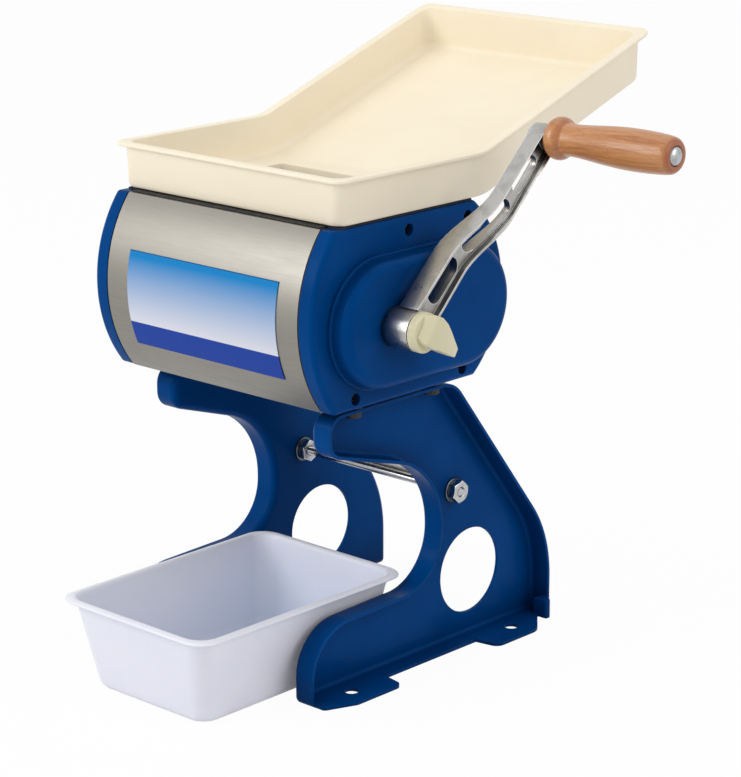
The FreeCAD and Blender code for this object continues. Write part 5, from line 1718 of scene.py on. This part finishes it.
@dataclass
class CatchBox:
    """The open box between the legs, with leaning walls and a rolled rim."""

    x: float = 5.5
    y: float = -99.0
    half_x: float = 59.5
    half_y: float = 84.3
    corner: float = 10.0
    skin: Outline = (
        (-16.8, 0.0), (-14.4, 0.25), (-12.6, 1.0), (-11.2, 2.4), (-10.3, 4.3), (-9.6, 7.0),
        (-1.3, 52.0), (-0.6, 54.0), (0.5, 55.6), (2.0, 56.4), (3.5, 56.6), (4.2, 56.8),
        (4.55, 57.2), (4.6, 57.6), (4.4, 58.0), (3.6, 58.4), (2.2, 58.8), (0.9, 59.0),
        (0.0, 58.8), (-0.8, 58.2), (-1.4, 57.2), (-2.0, 55.0),
        (-11.2, 8.0), (-11.9, 5.6), (-13.2, 3.8), (-15.2, 2.6), (-18.0, 2.1), (-20.0, 2.0))

    def build(self) -> Workpiece:
        """Build the box in place.

        Returns:
            The box.
        """
        rings = [Ring(self.half_x + out, -self.half_y - out, self.half_y + out, high)
                 for out, high in self.skin]
        box = Workpiece.moulded("catch_box_moulding", self.corner, rings)
        box.place((self.x, self.y, 0))
        box.smooth(40)
        return box

    def dress(self) -> None:
        """Build the box and finish it."""
        self.build().fit("box", Finish.WHITE, "box_plastic", "catch_box")


# ------------------------------------------------------------------ the studio

@dataclass(frozen=True)
class Lamp:
    """A soft round lamp: its name, its place, how wide it is and its power in watts."""

    name: str
    place: Triple
    size: float
    power: float

    def hang(self, aim: Triple) -> None:
        """Hang the lamp so that it faces a point.

        Args:
            aim: The point.
        """
        clear_bench()
        bpy.ops.object.light_add(type="AREA", location=metres(self.place))
        lamp = bpy.context.active_object
        lamp.name = self.name
        lamp.data.shape = "DISK"
        lamp.data.size = self.size * MM
        lamp.data.energy = self.power
        away = metres(aim) - metres(self.place)
        lamp.rotation_euler = away.to_track_quat("-Z", "Y").to_euler()


@dataclass
class Studio:
    """Floor, soft lamps, pale surroundings and the camera."""

    camera_at: Triple = (1125.85, -1176.18, 619.38)
    camera_turn: Triple = (74.307, 0.154, 42.966)
    lens: float = 129.81
    floor_half: float = 6000.0
    floor_drop: float = 0.2
    floor_grey: Triple = srgb(236, 236, 238)
    floor_shown: float = 0.96
    ambient: float = 0.64
    ambient_tint: Triple = (0.97, 0.98, 1.0)
    aim: Triple = (0, 0, 200)
    lamps: Sequence[Lamp] = (
        Lamp("key_lamp", (-700, -1500, 1000), 1200, 15),
        Lamp("side_lamp", (1700, 200, 1100), 1400, 7.5),
        Lamp("top_lamp", (0, 200, 1900), 1500, 4.5))

    def floor(self) -> None:
        """Lay a pale floor that keeps the shadow."""
        clear_bench()
        bpy.ops.mesh.primitive_plane_add(size=2 * self.floor_half * MM,
                                         location=(0, 0, -self.floor_drop * MM))
        floor = bpy.context.active_object
        floor.name = "floor"
        graph = Graph("studio_floor")
        graph.set(Base_Color=self.floor_grey, Roughness=0.9, Specular_IOR_Level=0.1)
        glow = graph.node("Emission", {"Color": (1.0, 1.0, 1.0), "Strength": 1.0})
        mixed = graph.node("MixShader", {0: graph.scaled(graph.seen(), self.floor_shown),
                                         1: graph.shader.outputs[0], 2: glow.outputs[0]})
        graph.plug(graph.out.inputs[0], mixed.outputs[0])
        floor.data.materials.append(graph.material)

    def surroundings(self) -> None:
        """Light evenly from all round, and show white behind."""
        bpy.context.scene.world = bpy.data.worlds.new("studio")
        tree = Tree(bpy.context.scene.world)
        fill = tree.node("Background", {0: self.ambient_tint, 1: self.ambient})
        backdrop = tree.node("Background", {0: (1.0, 1.0, 1.0), 1: 1.0})
        mixed = tree.node("MixShader", {0: tree.seen(), 1: fill.outputs[0],
                                        2: backdrop.outputs[0]})
        tree.node("OutputWorld", {0: mixed.outputs[0]})

    def camera(self) -> None:
        """Stand the camera."""
        clear_bench()
        bpy.ops.object.camera_add(location=metres(self.camera_at),
                                  rotation=[math.radians(angle) for angle in self.camera_turn])
        camera = bpy.context.active_object
        camera.data.sensor_fit = "HORIZONTAL"
        camera.data.sensor_width = 36
        camera.data.lens = self.lens
        camera.data.clip_end = 20
        bpy.context.scene.camera = camera

    def build(self) -> None:
        """Set up the whole studio."""
        self.floor()
        self.surroundings()
        for lamp in self.lamps:
            lamp.hang(self.aim)
        self.camera()
        bpy.context.scene.view_settings.view_transform = "Standard"


def main() -> None:
    """Build and dress the slicer in its studio."""
    logging.basicConfig(level=logging.INFO, format="%(message)s")
    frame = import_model()
    line = CrankLine()
    for assembly in (KeptNodes(frame["nodes"]), CrankArm(line), WingKnob(line), Grip(line),
                     FeedTray(), CatchBox(), TieRod(), CoverScrews(), LegBolts(),
                     BladeStack("front_blade", "crank", -63.8, -60.75),
                     BladeStack("rear_blade", "rear_rotor", 2.2, -59.25)):
        assembly.dress()
    Studio().build()


if __name__ == "__main__":
    main()
